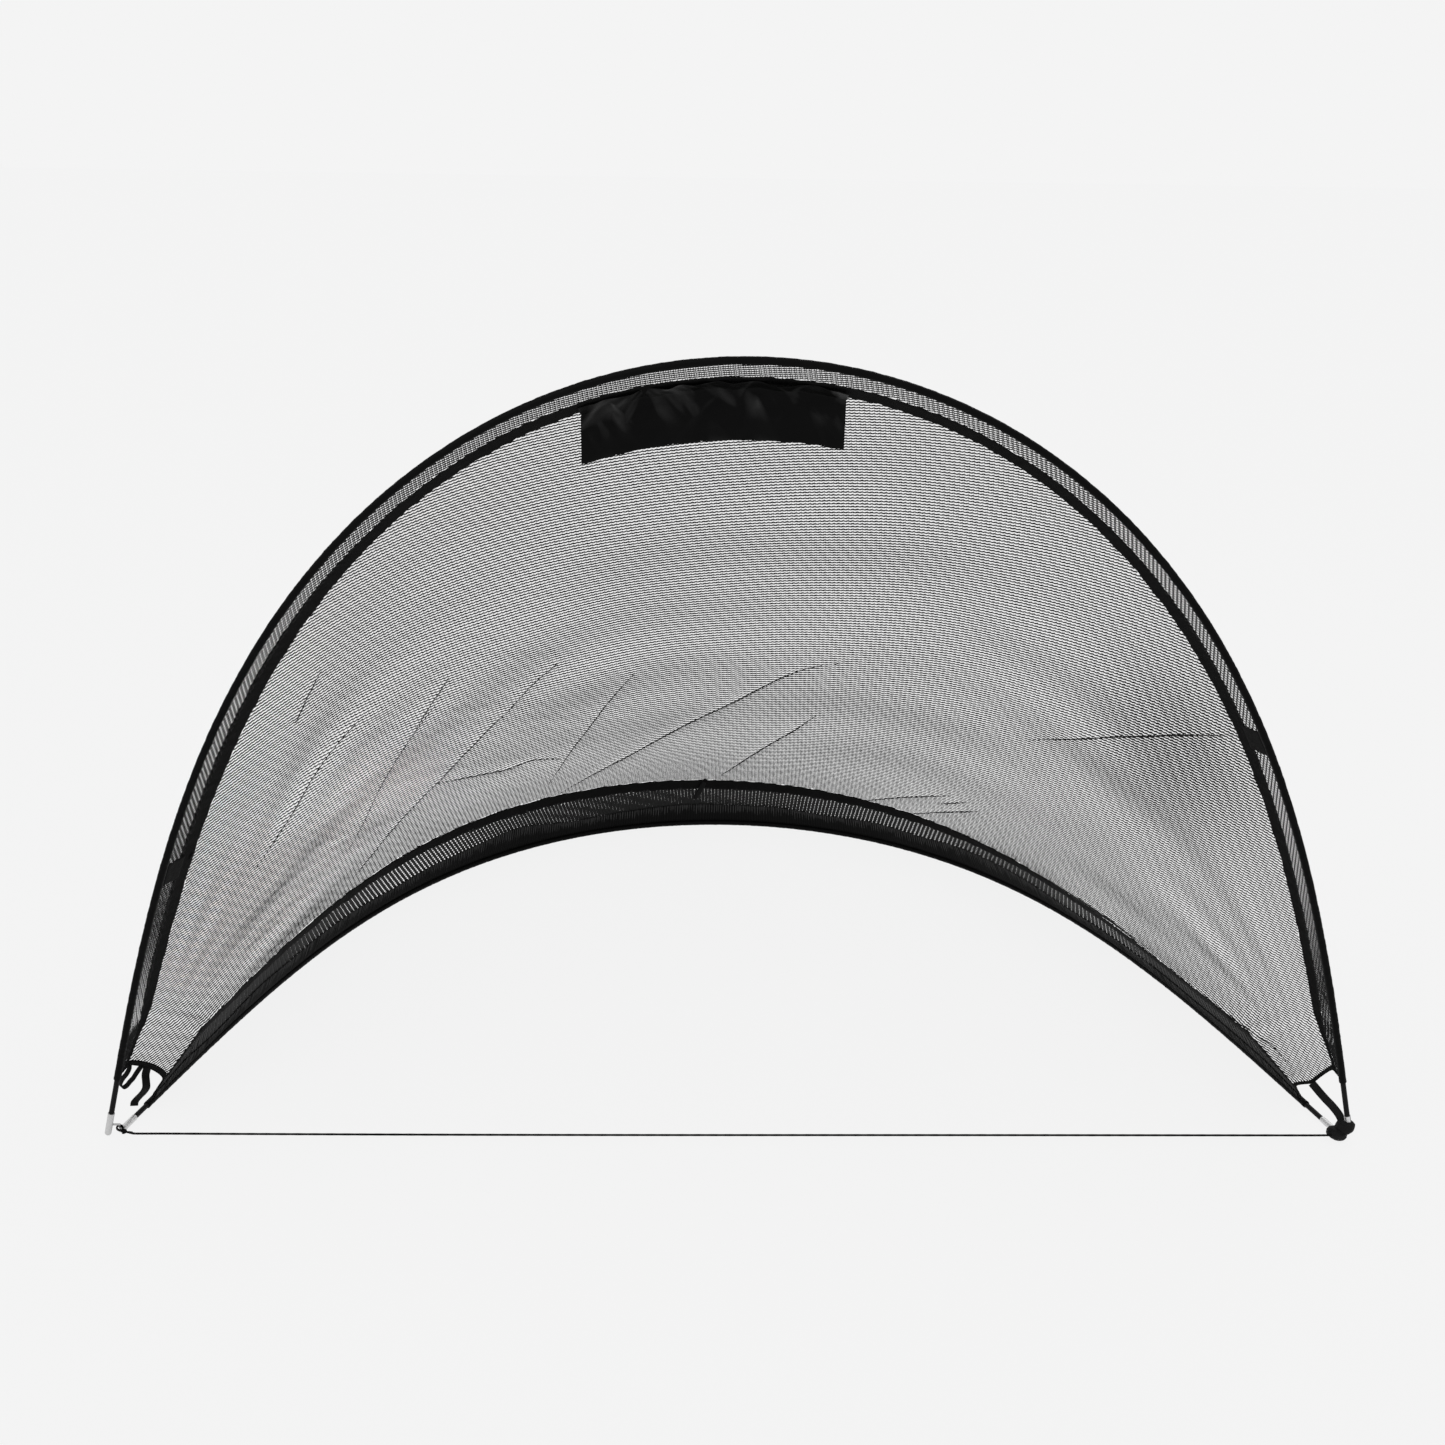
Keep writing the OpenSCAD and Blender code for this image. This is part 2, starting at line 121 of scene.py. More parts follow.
def pt(t, u):
    u = np.asarray(u, float)
    i, f = cell(u)
    d = f * (t[0][i] - t[0][i + 1])
    m = (t[0][i] - d / 2) * D2R
    return t[1][i] + (t[2] * f * chord(d))[..., None] * np.stack([np.cos(m), np.sin(m)], -1)


LEAN = 92 * D2R
UP = np.array([0, math.cos(LEAN), math.sin(LEAN)])
BACK = np.array([0, math.sin(LEAN), -math.cos(LEAN)])
EX, EZ = np.array([1.0, 0, 0]), np.array([0, 0, 1.0])


def front_pt(u):
    p = pt(FRONT, u)
    return np.array([0, HINGE_Y, HINGE_Z]) + p[..., :1] * EX + p[..., 1:] * UP


def ground_pt(u):
    p = pt(GROUND, u)
    return np.stack([p[..., 0], GROUND_Y + p[..., 1], 0 * p[..., 0] + SR], -1)


def front_in(u):
    h = hd(FRONT, u) * D2R
    return np.sin(h)[..., None] * EX - np.cos(h)[..., None] * UP


def ground_in(u):
    h = hd(GROUND, u) * D2R
    return np.stack([np.sin(h), -np.cos(h), 0 * h], -1)


def smooth(x):
    t = np.clip(x, 0, 1)
    return t * t * (3 - 2 * t)


def corner_share(u):
    return 0.40 + 0.60 * smooth((np.minimum(u, 1 - u) - U_END) / 0.028)


def border_slant(u):
    s = np.sin(np.pi * u)
    return 54 + 30 * np.maximum(1 - s, 0) ** 0.7 - 8 * np.sin(2 * np.pi * u) * (1 - s)


def band_slant(u):
    return 58 + 16 * np.maximum(np.sin(np.pi * u), 0) ** 3 + 8 * np.sin(2 * np.pi * u)


def past(a, u):
    return SR + GAP + (a - SR - GAP) * corner_share(u)


def border_pt(u, a):
    u = np.asarray(u, float)
    p = border_slant(u) * D2R
    d = np.cos(p)[..., None] * front_in(u) + np.sin(p)[..., None] * BACK
    return front_pt(u) + past(a, u)[..., None] * d


def ground_u(u):
    x = np.clip((u - U_END) / (1 - 2 * U_END), 0, 1)
    return u - X_LEFT * (1 - x) ** 8 + X_RIGHT * x ** 8


def band_pt(u, b):
    u = np.asarray(u, float)
    w = ground_u(u)
    p = band_slant(w) * D2R
    d = np.cos(p)[..., None] * ground_in(w) + np.sin(p)[..., None] * EZ
    return ground_pt(w) + past(b, u)[..., None] * d


def net_pt(u, t):
    u = np.asarray(u, float)
    t = np.asarray(t, float)[..., None]
    a, b = border_pt(u, NET_A), band_pt(u, NET_B)
    s = 20 * smooth(np.linalg.norm(b - a, axis=-1) / 900)
    d = np.array([0, HINGE_Y + 150, 150.0]) - (a + b) / 2
    d /= np.linalg.norm(d, axis=-1)[..., None]
    return (1 - t) * a + t * b + 4 * t * (1 - t) * s[..., None] * d


def near_corner(side, v):
    return np.array([side * (HW - v[0]), HINGE_Y + v[1], v[2]], float)


# ------------------------------------------------------------ smooth noise
def wobble(x, seed, period, octaves=3):
    """Smooth noise of one coordinate, about -1 to 1."""
    r = np.random.default_rng(seed)
    out, amp, total = 0 * np.asarray(x, float), 1.0, 0.0
    for k in range(octaves):
        for _ in range(3):
            out = out + amp * np.sin(2 * np.pi * (np.asarray(x) / (period * r.uniform(0.7, 1.4)) + r.uniform()))
        total += amp * 1.7
        amp, period = amp * 0.55, period * 0.47
    return out / total


def wobble2(x, y, seed, period, octaves=2, stretch=(1.0, 1.0), turn=0.0):
    """Smooth noise of two coordinates, about -1 to 1."""
    r = np.random.default_rng(seed)
    c, s = math.cos(turn), math.sin(turn)
    a, b = (np.asarray(x) * c + np.asarray(y) * s) / stretch[0], (-np.asarray(x) * s + np.asarray(y) * c) / stretch[1]
    out, amp, total = 0 * a, 1.0, 0.0
    for k in range(octaves):
        for _ in range(5):
            w = r.uniform(0, 2 * np.pi)
            out = out + amp * np.sin(2 * np.pi * ((a * math.cos(w) + b * math.sin(w)) / (period * r.uniform(0.7, 1.4)) + r.uniform()))
        total += amp * 2.2
        amp, period = amp * 0.5, period * 0.45
    return out / total


# --------------------------------------------------------------- mesh tools
def unit(v):
    return v / np.maximum(np.linalg.norm(v, axis=-1, keepdims=True), 1e-12)


def mesh_object(name, verts, quads, material, lay=None, flat=False, extra=None):
    """A mesh object from points in mm and quads; lay holds cloth coordinates in mm, kept in metres."""
    verts = np.asarray(verts, float).reshape(-1, 3)
    quads = np.asarray(quads, np.int32).reshape(-1, 4)
    me = bpy.data.meshes.new(name)
    tris = extra if extra is not None else np.zeros((0, 3), np.int32)
    me.vertices.add(len(verts))
    me.vertices.foreach_set("co", (verts * MM).astype(np.float32).ravel())
    me.loops.add(quads.size + tris.size)
    me.loops.foreach_set("vertex_index", np.concatenate([quads.ravel(), tris.ravel()]).astype(np.int32))
    me.polygons.add(len(quads) + len(tris))
    start = np.concatenate([np.arange(len(quads)) * 4, quads.size + np.arange(len(tris)) * 3]).astype(np.int32)
    me.polygons.foreach_set("loop_start", start)
    me.update(calc_edges=True)
    me.polygons.foreach_set("use_smooth", np.full(len(quads) + len(tris), not flat, bool))
    if lay is not None:
        at = me.attributes.new("lay", "FLOAT_VECTOR", "POINT")
        at.data.foreach_set("vector", (np.asarray(lay, float).reshape(-1, 3) * MM).astype(np.float32).ravel())
    me.materials.append(material)
    o = bpy.data.objects.new(name, me)
    bpy.context.scene.collection.objects.link(o)
    return o


def ring_quads(n, k, wrap=True):
    i, j = np.meshgrid(np.arange(n - 1), np.arange(k if wrap else k - 1), indexing="ij")
    j2 = (j + 1) % k
    return np.stack([i * k + j, (i + 1) * k + j, (i + 1) * k + j2, i * k + j2], -1).reshape(-1, 4)


def tube(path, radius, sides, up=None, lay_r=None, caps=True):
    """Points and quads of a tube along path; radius is a number or an array (points, sides)."""
    path = np.asarray(path, float)
    n = len(path)
    t = unit(np.gradient(path, axis=0))
    nrm = np.zeros_like(path)
    a = np.array(up if up is not None else [0, 0, 1.0], float)
    if abs(t[0] @ a) > 0.95:
        a = np.array([0, 1.0, 0])
    a = unit(a - (a @ t[0]) * t[0])
    for i in range(n):
        a = unit(a - (a @ t[i]) * t[i])
        nrm[i] = a
    b = np.cross(nrm, t)
    th = np.arange(sides) * 2 * np.pi / sides
    r = np.broadcast_to(np.asarray(radius, float), (n, sides)) if np.ndim(radius) != 1 else np.repeat(np.asarray(radius)[:, None], sides, 1)
    v = path[:, None] + r[..., None] * (np.cos(th)[None, :, None] * nrm[:, None] + np.sin(th)[None, :, None] * b[:, None])
    q = ring_quads(n, sides)
    s = np.concatenate([[0], np.cumsum(np.linalg.norm(np.diff(path, axis=0), axis=1))])
    lay = np.stack([np.repeat(s[:, None], sides, 1), np.repeat((th / (2 * np.pi))[None], n, 0) * 2 * np.pi * r.mean(), r * 0], -1)
    v, lay = v.reshape(-1, 3), lay.reshape(-1, 3)
    tris = None
    if caps:
        e = (n - 1) * sides
        c0, c1 = len(v), len(v) + 1
        v = np.concatenate([v, path[:1] - t[0] * r[0].mean() * 0.25, path[-1:] + t[-1] * r[-1].mean() * 0.25])
        lay = np.concatenate([lay, [[0, 0, 0]], [[s[-1], 0, 0]]])
        k = np.arange(sides)
        k2 = (k + 1) % sides
        tris = np.concatenate([np.stack([k * 0 + c0, k, k2], 1), np.stack([k * 0 + c1, e + k2, e + k], 1)]).astype(np.int32)
    return v, q, lay, tris


def grid_normals(p):
    return unit(np.cross(np.gradient(p, axis=0), np.gradient(p, axis=1)))


def slab(p, th, lay=None, off=0.0, edge=0.35):
    """Closed sheet of thickness th round the grid p, with its long edges thinned to edge of th."""
    n, m = p.shape[:2]
    nv = grid_normals(p)
    th = np.broadcast_to(np.asarray(th, float), (n, m)).copy()
    th[:, 0] *= edge
    th[:, -1] *= edge
    off = np.broadcast_to(np.asarray(off, float), (n, m))
    top = p + nv * (off + th / 2)[..., None]
    low = p + nv * (off - th / 2)[..., None]
    ring = np.concatenate([top, low[:, ::-1]], 1)
    k = 2 * m
    q = ring_quads(n, k)
    j = np.arange(m - 1)
    cap = np.stack([j, j + 1, k - 2 - j, k - 1 - j], 1)
    e = (n - 1) * k
    q = np.concatenate([q, cap, e + cap[:, ::-1]])
    if lay is None:
        s = np.concatenate([[0], np.cumsum(np.linalg.norm(np.diff(p.mean(1), axis=0), axis=1))])
        v = np.concatenate([[0], np.cumsum(np.linalg.norm(np.diff(p.mean(0), axis=0), axis=1))]) if m > 1 else np.zeros(m)
        across = np.concatenate([np.zeros((n, 1)), np.cumsum(np.linalg.norm(np.diff(p, axis=1), axis=2), axis=1)], 1)
        lay = np.stack([np.repeat(s[:, None], m, 1), across, across * 0 + across[:, -1:]], -1)
    lay2 = np.concatenate([lay, lay[:, ::-1]], 1)
    return ring.reshape(-1, 3), q, lay2.reshape(-1, 3)


def catmull(points, n):
    p = np.asarray(points, float)
    p = np.concatenate([[2 * p[0] - p[1]], p, [2 * p[-1] - p[-2]]])
    out = []
    for i in range(1, len(p) - 2):
        t = np.linspace(0, 1, n, endpoint=False)[:, None]
        a, b, c, d = p[i - 1], p[i], p[i + 1], p[i + 2]
        out.append(0.5 * (2 * b + (c - a) * t + (2 * a - 5 * b + 4 * c - d) * t ** 2 + (3 * b - a - 3 * c + d) * t ** 3))
    out.append(p[-2][None])
    return np.concatenate(out)


def folds(o, *nodes, slot=None):
    """Cloth between the hoops: bakes the object's transform into its mesh and hides the CAD nodes it stands for."""
    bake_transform(o)
    v = np.zeros(len(o.data.vertices) * 3, np.float32)
    o.data.vertices.foreach_get("co", v)
    if nodes:
        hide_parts(*nodes)
    return o


# ---------------------------------------------------------------- materials
class Nodes:
    def __init__(self, name):
        self.m = bpy.data.materials.new(name)
        self.m.use_nodes = True
        self.t = self.m.node_tree
        self.b = self.t.nodes["Principled BSDF"]

    def n(self, kind, **kw):
        x = self.t.nodes.new(kind)
        for k, v in kw.items():
            setattr(x, k, v)
        return x

    def link(self, a, b):
        self.t.links.new(a, b)

    def set(self, **kw):
        names = dict(colour="Base Color", rough="Roughness", metal="Metallic", spec="Specular IOR Level", sheen="Sheen Weight",
                     sheen_rough="Sheen Roughness", coat="Coat Weight", coat_rough="Coat Roughness")
        for k, v in kw.items():
            s = self.b.inputs[names[k]]
            s.default_value = (v, v, v, 1) if k == "colour" and not hasattr(v, "__len__") else v

    def lay(self):
        return self.n("ShaderNodeAttribute", attribute_name="lay").outputs["Vector"]

    def obj(self):
        return self.n("ShaderNodeTexCoord").outputs["Object"]

    def scaled(self, vec, s, rot=(0, 0, 0)):
        x = self.n("ShaderNodeMapping")
        x.inputs["Scale"].default_value = s
        x.inputs["Rotation"].default_value = rot
        self.link(vec, x.inputs["Vector"])
        return x.outputs["Vector"]

    def noise(self, vec, scale, detail=3.0, rough=0.55, distortion=0.0):
        x = self.n("ShaderNodeTexNoise")
        x.inputs["Scale"].default_value = scale
        x.inputs["Detail"].default_value = detail
        x.inputs["Roughness"].default_value = rough
        x.inputs["Distortion"].default_value = distortion
        self.link(vec, x.inputs["Vector"])
        return x.outputs["Fac"]

    def wave(self, vec, scale, direction="X", profile="SIN", distortion=0.0):
        x = self.n("ShaderNodeTexWave", wave_type="BANDS", bands_direction=direction, wave_profile=profile)
        x.inputs["Scale"].default_value = scale
        x.inputs["Distortion"].default_value = distortion
        x.inputs["Detail"].default_value = 0
        self.link(vec, x.inputs["Vector"])
        return x.outputs["Fac"]

    def math(self, op, a, b=None, c=None, clamp=False):
        x = self.n("ShaderNodeMath", operation=op, use_clamp=clamp)
        for i, v in enumerate((a, b, c)):
            if v is None:
                continue
            if hasattr(v, "is_linked") or hasattr(v, "node"):
                self.link(v, x.inputs[i])
            else:
                x.inputs[i].default_value = v
        return x.outputs[0]

    def ramp(self, fac, stops):
        x = self.n("ShaderNodeValToRGB")
        e = x.color_ramp.elements
        for i, (p, c) in enumerate(stops):
            if i < 2:
                e[i].position = p
            else:
                e.new(p)
            e[i].color = (c, c, c, 1) if not hasattr(c, "__len__") else (*c, 1)
        self.link(fac, x.inputs["Fac"])
        return x.outputs["Color"]

    def split(self, vec):
        x = self.n("ShaderNodeSeparateXYZ")
        self.link(vec, x.inputs[0])
        return x.outputs

    def colour(self, fac, stops):
        self.link(self.ramp(fac, stops), self.b.inputs["Base Color"])

    def rough(self, fac, lo, hi):
        x = self.n("ShaderNodeMapRange")
        x.inputs["To Min"].default_value = lo
        x.inputs["To Max"].default_value = hi
        self.link(fac, x.inputs["Value"])
        self.link(x.outputs["Result"], self.b.inputs["Roughness"])

    def bump(self, height, strength, distance):
        x = self.n("ShaderNodeBump")
        x.inputs["Strength"].default_value = strength
        x.inputs["Distance"].default_value = distance
        if self.b.inputs["Normal"].is_linked:
            self.link(self.b.inputs["Normal"].links[0].from_socket, x.inputs["Normal"])
        self.link(height, x.inputs["Height"])
        self.link(x.outputs["Normal"], self.b.inputs["Normal"])


def yarn_material(name, lo, hi):
    k = Nodes(name)
    v = k.obj()
    k.colour(k.noise(v, 420, 4, 0.6), [(0.25, lo), (0.8, hi)])
    k.rough(k.noise(v, 900, 2), 0.55, 0.8)
    k.bump(k.noise(k.scaled(v, (1, 1, 0.35)), 2600, 2, 0.6), 0.5, 0.0002)
    k.set(spec=0.08)
    return k.m


def tape_material(name, width, lo=0.0022, hi=0.0058):
    """Woven binding tape: fine twill, a line of stitches near each edge, lightly rubbed edges."""
    k = Nodes(name)
    v = k.lay()
    x, y, w = k.split(v)
    twill = k.wave(k.scaled(v, (1, 1, 0), (0, 0, 0.9)), 190, "X", "SIN", 0.6)
    fine = k.noise(v, 900, 3, 0.6)
    edge = k.math("MINIMUM", y, k.math("SUBTRACT", w, y))                      # distance to the nearer edge, m
    line = k.math("LESS_THAN", k.math("ABSOLUTE", k.math("SUBTRACT", edge, 0.0031)), 0.00042)
    dash = k.math("GREATER_THAN", k.math("FRACT", k.math("MULTIPLY", x, 1 / 0.0036)), 0.24)
    stitch = k.math("MULTIPLY", line, dash)
    rubbed = k.math("MULTIPLY", k.math("LESS_THAN", edge, 0.0007), fine)
    tone = k.math("ADD", k.math("MULTIPLY", twill, 0.32), k.math("MULTIPLY", k.noise(v, 45, 4, 0.6), 0.55))
    tone = k.math("ADD", tone, k.math("MULTIPLY", stitch, 0.45))
    tone = k.math("ADD", tone, k.math("MULTIPLY", rubbed, 0.35))
    k.colour(tone, [(0.15, lo), (0.75, hi), (1.0, 0.016)])
    k.rough(k.noise(v, 160, 3), 0.66, 0.88)
    k.bump(twill, 0.55, 0.00025)
    k.bump(k.noise(v, 70, 3, 0.5), 0.5, 0.0012)
    k.bump(stitch, 0.8, 0.0004)
    k.set(spec=0.035)
    return k.m


def sleeve_material():
    """Thin coated cloth drawn round the rod: fine weave, ripples in its bump, painted highlight dashes in its colour
    along its outer side, a sewn seam.
    """
    k = Nodes("sleeve_cloth")
    v = k.lay()
    weave = k.math("MULTIPLY", k.wave(k.scaled(v, (1, 1, 0)), 330, "X"), k.wave(k.scaled(v, (1, 1, 0)), 330, "Y"))
    tone = k.math("ADD", k.math("MULTIPLY", k.noise(v, 60, 4, 0.6), 0.7), k.math("MULTIPLY", weave, 0.25))
    x, y, w = k.split(v)
    # painted highlight: sparse lighter dashes along the sleeve's outer side (lay y near 18 mm), put into the base
    # colour
    painted_highlight = k.math("MULTIPLY", k.ramp(k.noise(k.scaled(v, (1, 0.5, 1)), 75, 3, 0.5), [(0.52, 0.0), (0.64, 1.0)]),
                   k.ramp(k.math("ABSOLUTE", k.math("SUBTRACT", y, 0.0180)), [(0.0, 1.0), (0.0032, 0.0)]))
    tone = k.math("ADD", tone, k.math("MULTIPLY", painted_highlight, 1.4))
    # the top colour stop (0.03) is the painted highlight
    k.colour(tone, [(0.2, 0.002), (0.9, 0.0045), (1.0, 0.03)])
    k.rough(k.noise(v, 120, 3), 0.34, 0.55)
    k.bump(weave, 0.35, 0.00012)
    k.bump(k.noise(k.scaled(v, (1.6, 0.6, 1)), 130, 3, 0.55), 0.7, 0.0011)
    k.set(spec=0.04)
    return k.m


def webbing_material(name, lo, hi):
    k = Nodes(name)
    v = k.lay()
    ribs = k.wave(k.scaled(v, (1, 1, 0)), 210, "X", "SIN", 0.3)
    cords = k.wave(k.scaled(v, (1, 1, 0)), 260, "Y", "SIN", 0.2)
    weave = k.math("MULTIPLY", ribs, k.math("ADD", k.math("MULTIPLY", cords, 0.5), 0.5))
    x, y, w = k.split(v)
    edge = k.math("MINIMUM", y, k.math("SUBTRACT", w, y))
    fuzz = k.math("MULTIPLY", k.math("LESS_THAN", edge, 0.0006), k.noise(v, 900, 2))
    tone = k.math("ADD", k.math("ADD", k.math("MULTIPLY", weave, 0.5), k.math("MULTIPLY", k.noise(v, 80, 3), 0.4)), k.math("MULTIPLY", fuzz, 0.5))
    k.colour(tone, [(0.2, lo), (0.9, hi)])
    k.rough(k.noise(v, 200, 2), 0.6, 0.85)
    k.bump(weave, 0.7, 0.0004)
    k.set(spec=0.05)
    return k.m


def banner_material():
    """Plain black coated cloth with a fine weave, sewn hems and soft creases, and painted highlights of diagonal folds
    near its top in its colour.
    """
    k = Nodes("banner_cloth")
    v = k.lay()
    weave = k.math("MULTIPLY", k.wave(k.scaled(v, (1, 1, 0)), 420, "X"), k.wave(k.scaled(v, (1, 1, 0)), 420, "Y"))
    x, y, w = k.split(v)
    # painted highlight: two sets of lighter diagonal streaks (one, two) standing for light on satin folds, faded down
    # the cloth by reach
    one = k.ramp(k.noise(k.scaled(k.scaled(v, (1, 1, 1), (0, 0, 0.6)), (1, 0.3, 1)), 34, 2, 0.45, 0.5), [(0.50, 0.0), (0.54, 0.35), (0.66, 1.0)])
    two = k.ramp(k.noise(k.scaled(k.scaled(v, (1, 1, 1), (0, 0, -0.7)), (1, 0.34, 1)), 27, 2, 0.45, 0.4), [(0.52, 0.0), (0.55, 0.3), (0.68, 1.0)])
    reach = k.ramp(y, [(0.012, 1.0), (0.040, 0.8), (0.066, 0.16), (0.080, 0.1), (0.090, 0.3)])
    painted_fold_highlight = k.math("MULTIPLY", k.math("MAXIMUM", one, two), reach)
    tone = k.math("ADD", k.math("MULTIPLY", painted_fold_highlight, 0.8), k.math("MULTIPLY", weave, 0.07))
    tone = k.math("ADD", tone, k.math("MULTIPLY", k.noise(v, 700, 2), 0.12))
    # the upper colour stops (0.013, 0.05) carry the painted fold highlights
    k.colour(tone, [(0.05, 0.0012), (0.2, 0.0026), (0.5, 0.013), (0.95, 0.05)])
    k.rough(k.noise(v, 90, 3), 0.3, 0.55)
    k.bump(weave, 0.3, 0.0001)
    k.bump(k.noise(k.scaled(v, (1, 1.5, 1)), 34, 4, 0.55, 0.6), 0.6, 0.004)
    k.set(spec=0.055)
    return k.m


def patch_material():
    k = Nodes("patch_cloth")
    v = k.lay()
    weave = k.wave(k.scaled(v, (1, 1, 0)), 300, "X", "SIN", 0.5)
    tone = k.math("ADD", k.math("MULTIPLY", weave, 0.5), k.math("MULTIPLY", k.noise(v, 140, 3), 0.5))
    k.colour(tone, [(0.2, 0.003), (0.9, 0.009)])
    k.rough(k.noise(v, 200, 2), 0.6, 0.85)
    k.bump(weave, 0.6, 0.0003)
    k.set(spec=0.05)
    return k.m


def rod_material():
    k = Nodes("rod_fibreglass")
    v = k.obj()
    k.colour(k.noise(k.scaled(v, (1, 1, 0.15)), 700, 3, 0.6), [(0.25, 0.0032), (0.85, 0.01)])
    k.rough(k.noise(v, 260, 3), 0.3, 0.5)
    k.bump(k.noise(k.scaled(v, (1, 1, 0.12)), 1500, 2), 0.3, 0.00015)
    k.set(spec=0.07)
    return k.m


def metal_material(name, lo, hi, metal, r0, r1, spec=0.5):
    k = Nodes(name)
    v = k.obj()
    brushed = k.noise(k.scaled(v, (1, 1, 0.08)), 2200, 3, 0.6)
    worn = k.noise(v, 260, 5, 0.65)
    tone = k.math("ADD", k.math("MULTIPLY", brushed, 0.35), k.math("MULTIPLY", worn, 0.65))
    k.colour(tone, [(0.2, lo), (0.8, hi)])
    k.rough(worn, r0, r1)
    k.bump(brushed, 0.12, 0.0001)
    k.bump(k.ramp(k.noise(v, 500, 2), [(0.62, 1.0), (0.7, 0.0)]), 0.25, 0.0001)
    k.set(metal=metal, spec=spec)
    return k.m


def rubber_material():
    k = Nodes("boot_rubber")
    v = k.obj()
    x, y, z = k.split(v)
    dust = k.math("MULTIPLY", k.math("LESS_THAN", z, 0.012), k.noise(v, 160, 4, 0.6))
    tone = k.math("ADD", k.math("MULTIPLY", k.noise(v, 220, 5, 0.6), 0.7), k.math("MULTIPLY", dust, 0.6))
    k.colour(tone, [(0.2, 0.0035), (0.9, 0.012)])
    k.rough(k.noise(v, 300, 3), 0.5, 0.75)
    k.bump(k.noise(v, 1400, 3, 0.6), 0.45, 0.0003)
    k.set(spec=0.1)
    return k.m


def cord_material():
    k = Nodes("cord_braid")
    v = k.lay()
    a = k.wave(k.scaled(v, (1, 1, 0), (0, 0, 0.75)), 260, "X")
    b = k.wave(k.scaled(v, (1, 1, 0), (0, 0, -0.75)), 260, "X")
    braid = k.math("MAXIMUM", a, b)
    tone = k.math("ADD", k.math("MULTIPLY", braid, 0.5), k.math("MULTIPLY", k.noise(v, 300, 3), 0.5))
    k.colour(tone, [(0.2, 0.0022), (0.9, 0.0065)])
    k.rough(k.noise(v, 300, 2), 0.6, 0.85)
    k.bump(braid, 0.8, 0.0004)
    k.set(spec=0.05)
    return k.m


def hem_material():
    """Mesh cloth gathered into the hem: fine upright pleats, nearly closed."""
    k = Nodes("hem_gather")
    v = k.lay()
    pleat = k.wave(k.scaled(v, (1, 0.22, 0)), 62, "X", "SIN", 3.0)
    grain = k.noise(v, 700, 3, 0.65)
    x, y, w = k.split(v)
    share = k.math("DIVIDE", y, w)
    tone = k.math("ADD", k.math("MULTIPLY", pleat, 0.5), k.math("MULTIPLY", grain, 0.4))
    open_top = k.math("MULTIPLY", k.ramp(share, [(0.25, 0.0), (1.0, 1.0)]), k.wave(k.scaled(v, (1, 0.1, 0)), 118, "X", "SIN", 1.2))
    tone = k.math("ADD", tone, k.math("MULTIPLY", open_top, k.math("ADD", k.noise(v, 38, 3), 0.35)))
    k.colour(tone, [(0.2, 0.0022), (0.85, 0.0062), (1.0, 0.012), (1.0, 0.05)])
    k.rough(grain, 0.6, 0.85)
    k.bump(pleat, 0.6, 0.0009)
    k.bump(grain, 0.5, 0.0004)
    k.set(spec=0.03)
    return k.m


M_NET = yarn_material("net_yarn", 0.004, 0.014)
M_BORDER = yarn_material("border_yarn", 0.006, 0.024)
M_BAND = yarn_material("band_yarn", 0.006, 0.026)
M_TAPE = tape_material("border_tape", 0.024)
M_BAND_TAPE = tape_material("band_tape", 0.021)
M_BIND = tape_material("corner_binding", 0.006)
M_SLEEVE = sleeve_material()
M_WEB = webbing_material("webbing", 0.004, 0.016)
M_WEB2 = webbing_material("webbing_pale", 0.006, 0.022)
M_BANNER = banner_material()
M_PATCH = patch_material()
M_ROD = rod_material()
M_FERRULE = metal_material("ferrule_grey", 0.42, 0.60, 0.0, 0.42, 0.6)
M_SILVER = metal_material("ferrule_silver", 0.55, 0.74, 0.7, 0.34, 0.46)
M_WIRE = metal_material("link_wire", 0.22, 0.42, 0.9, 0.25, 0.45)
M_BOOT = rubber_material()
M_CORD = cord_material()
M_HEM = hem_material()


# ------------------------------------------------- flat pattern of the net
NU, NT = 66, 22


def u_of(x):
    return U_CLOTH + (1 - 2 * U_CLOTH) * (0.55 * x + 0.45 * (1 - np.cos(np.pi * x)) / 2)


def net_grid():
    x = -0.012 + 1.024 * np.arange(NU + 1) / NU
    u = u_of(x)
    wide = np.linalg.norm(band_pt(u, NET_B) - border_pt(u, NET_A), axis=-1)
    e = 8.0 / wide
    tau = np.arange(NT + 1) / NT
    t = -e[:, None] + (1 + 2 * e[:, None]) * tau[None]
    return x, np.repeat(u[:, None], NT + 1, 1), t


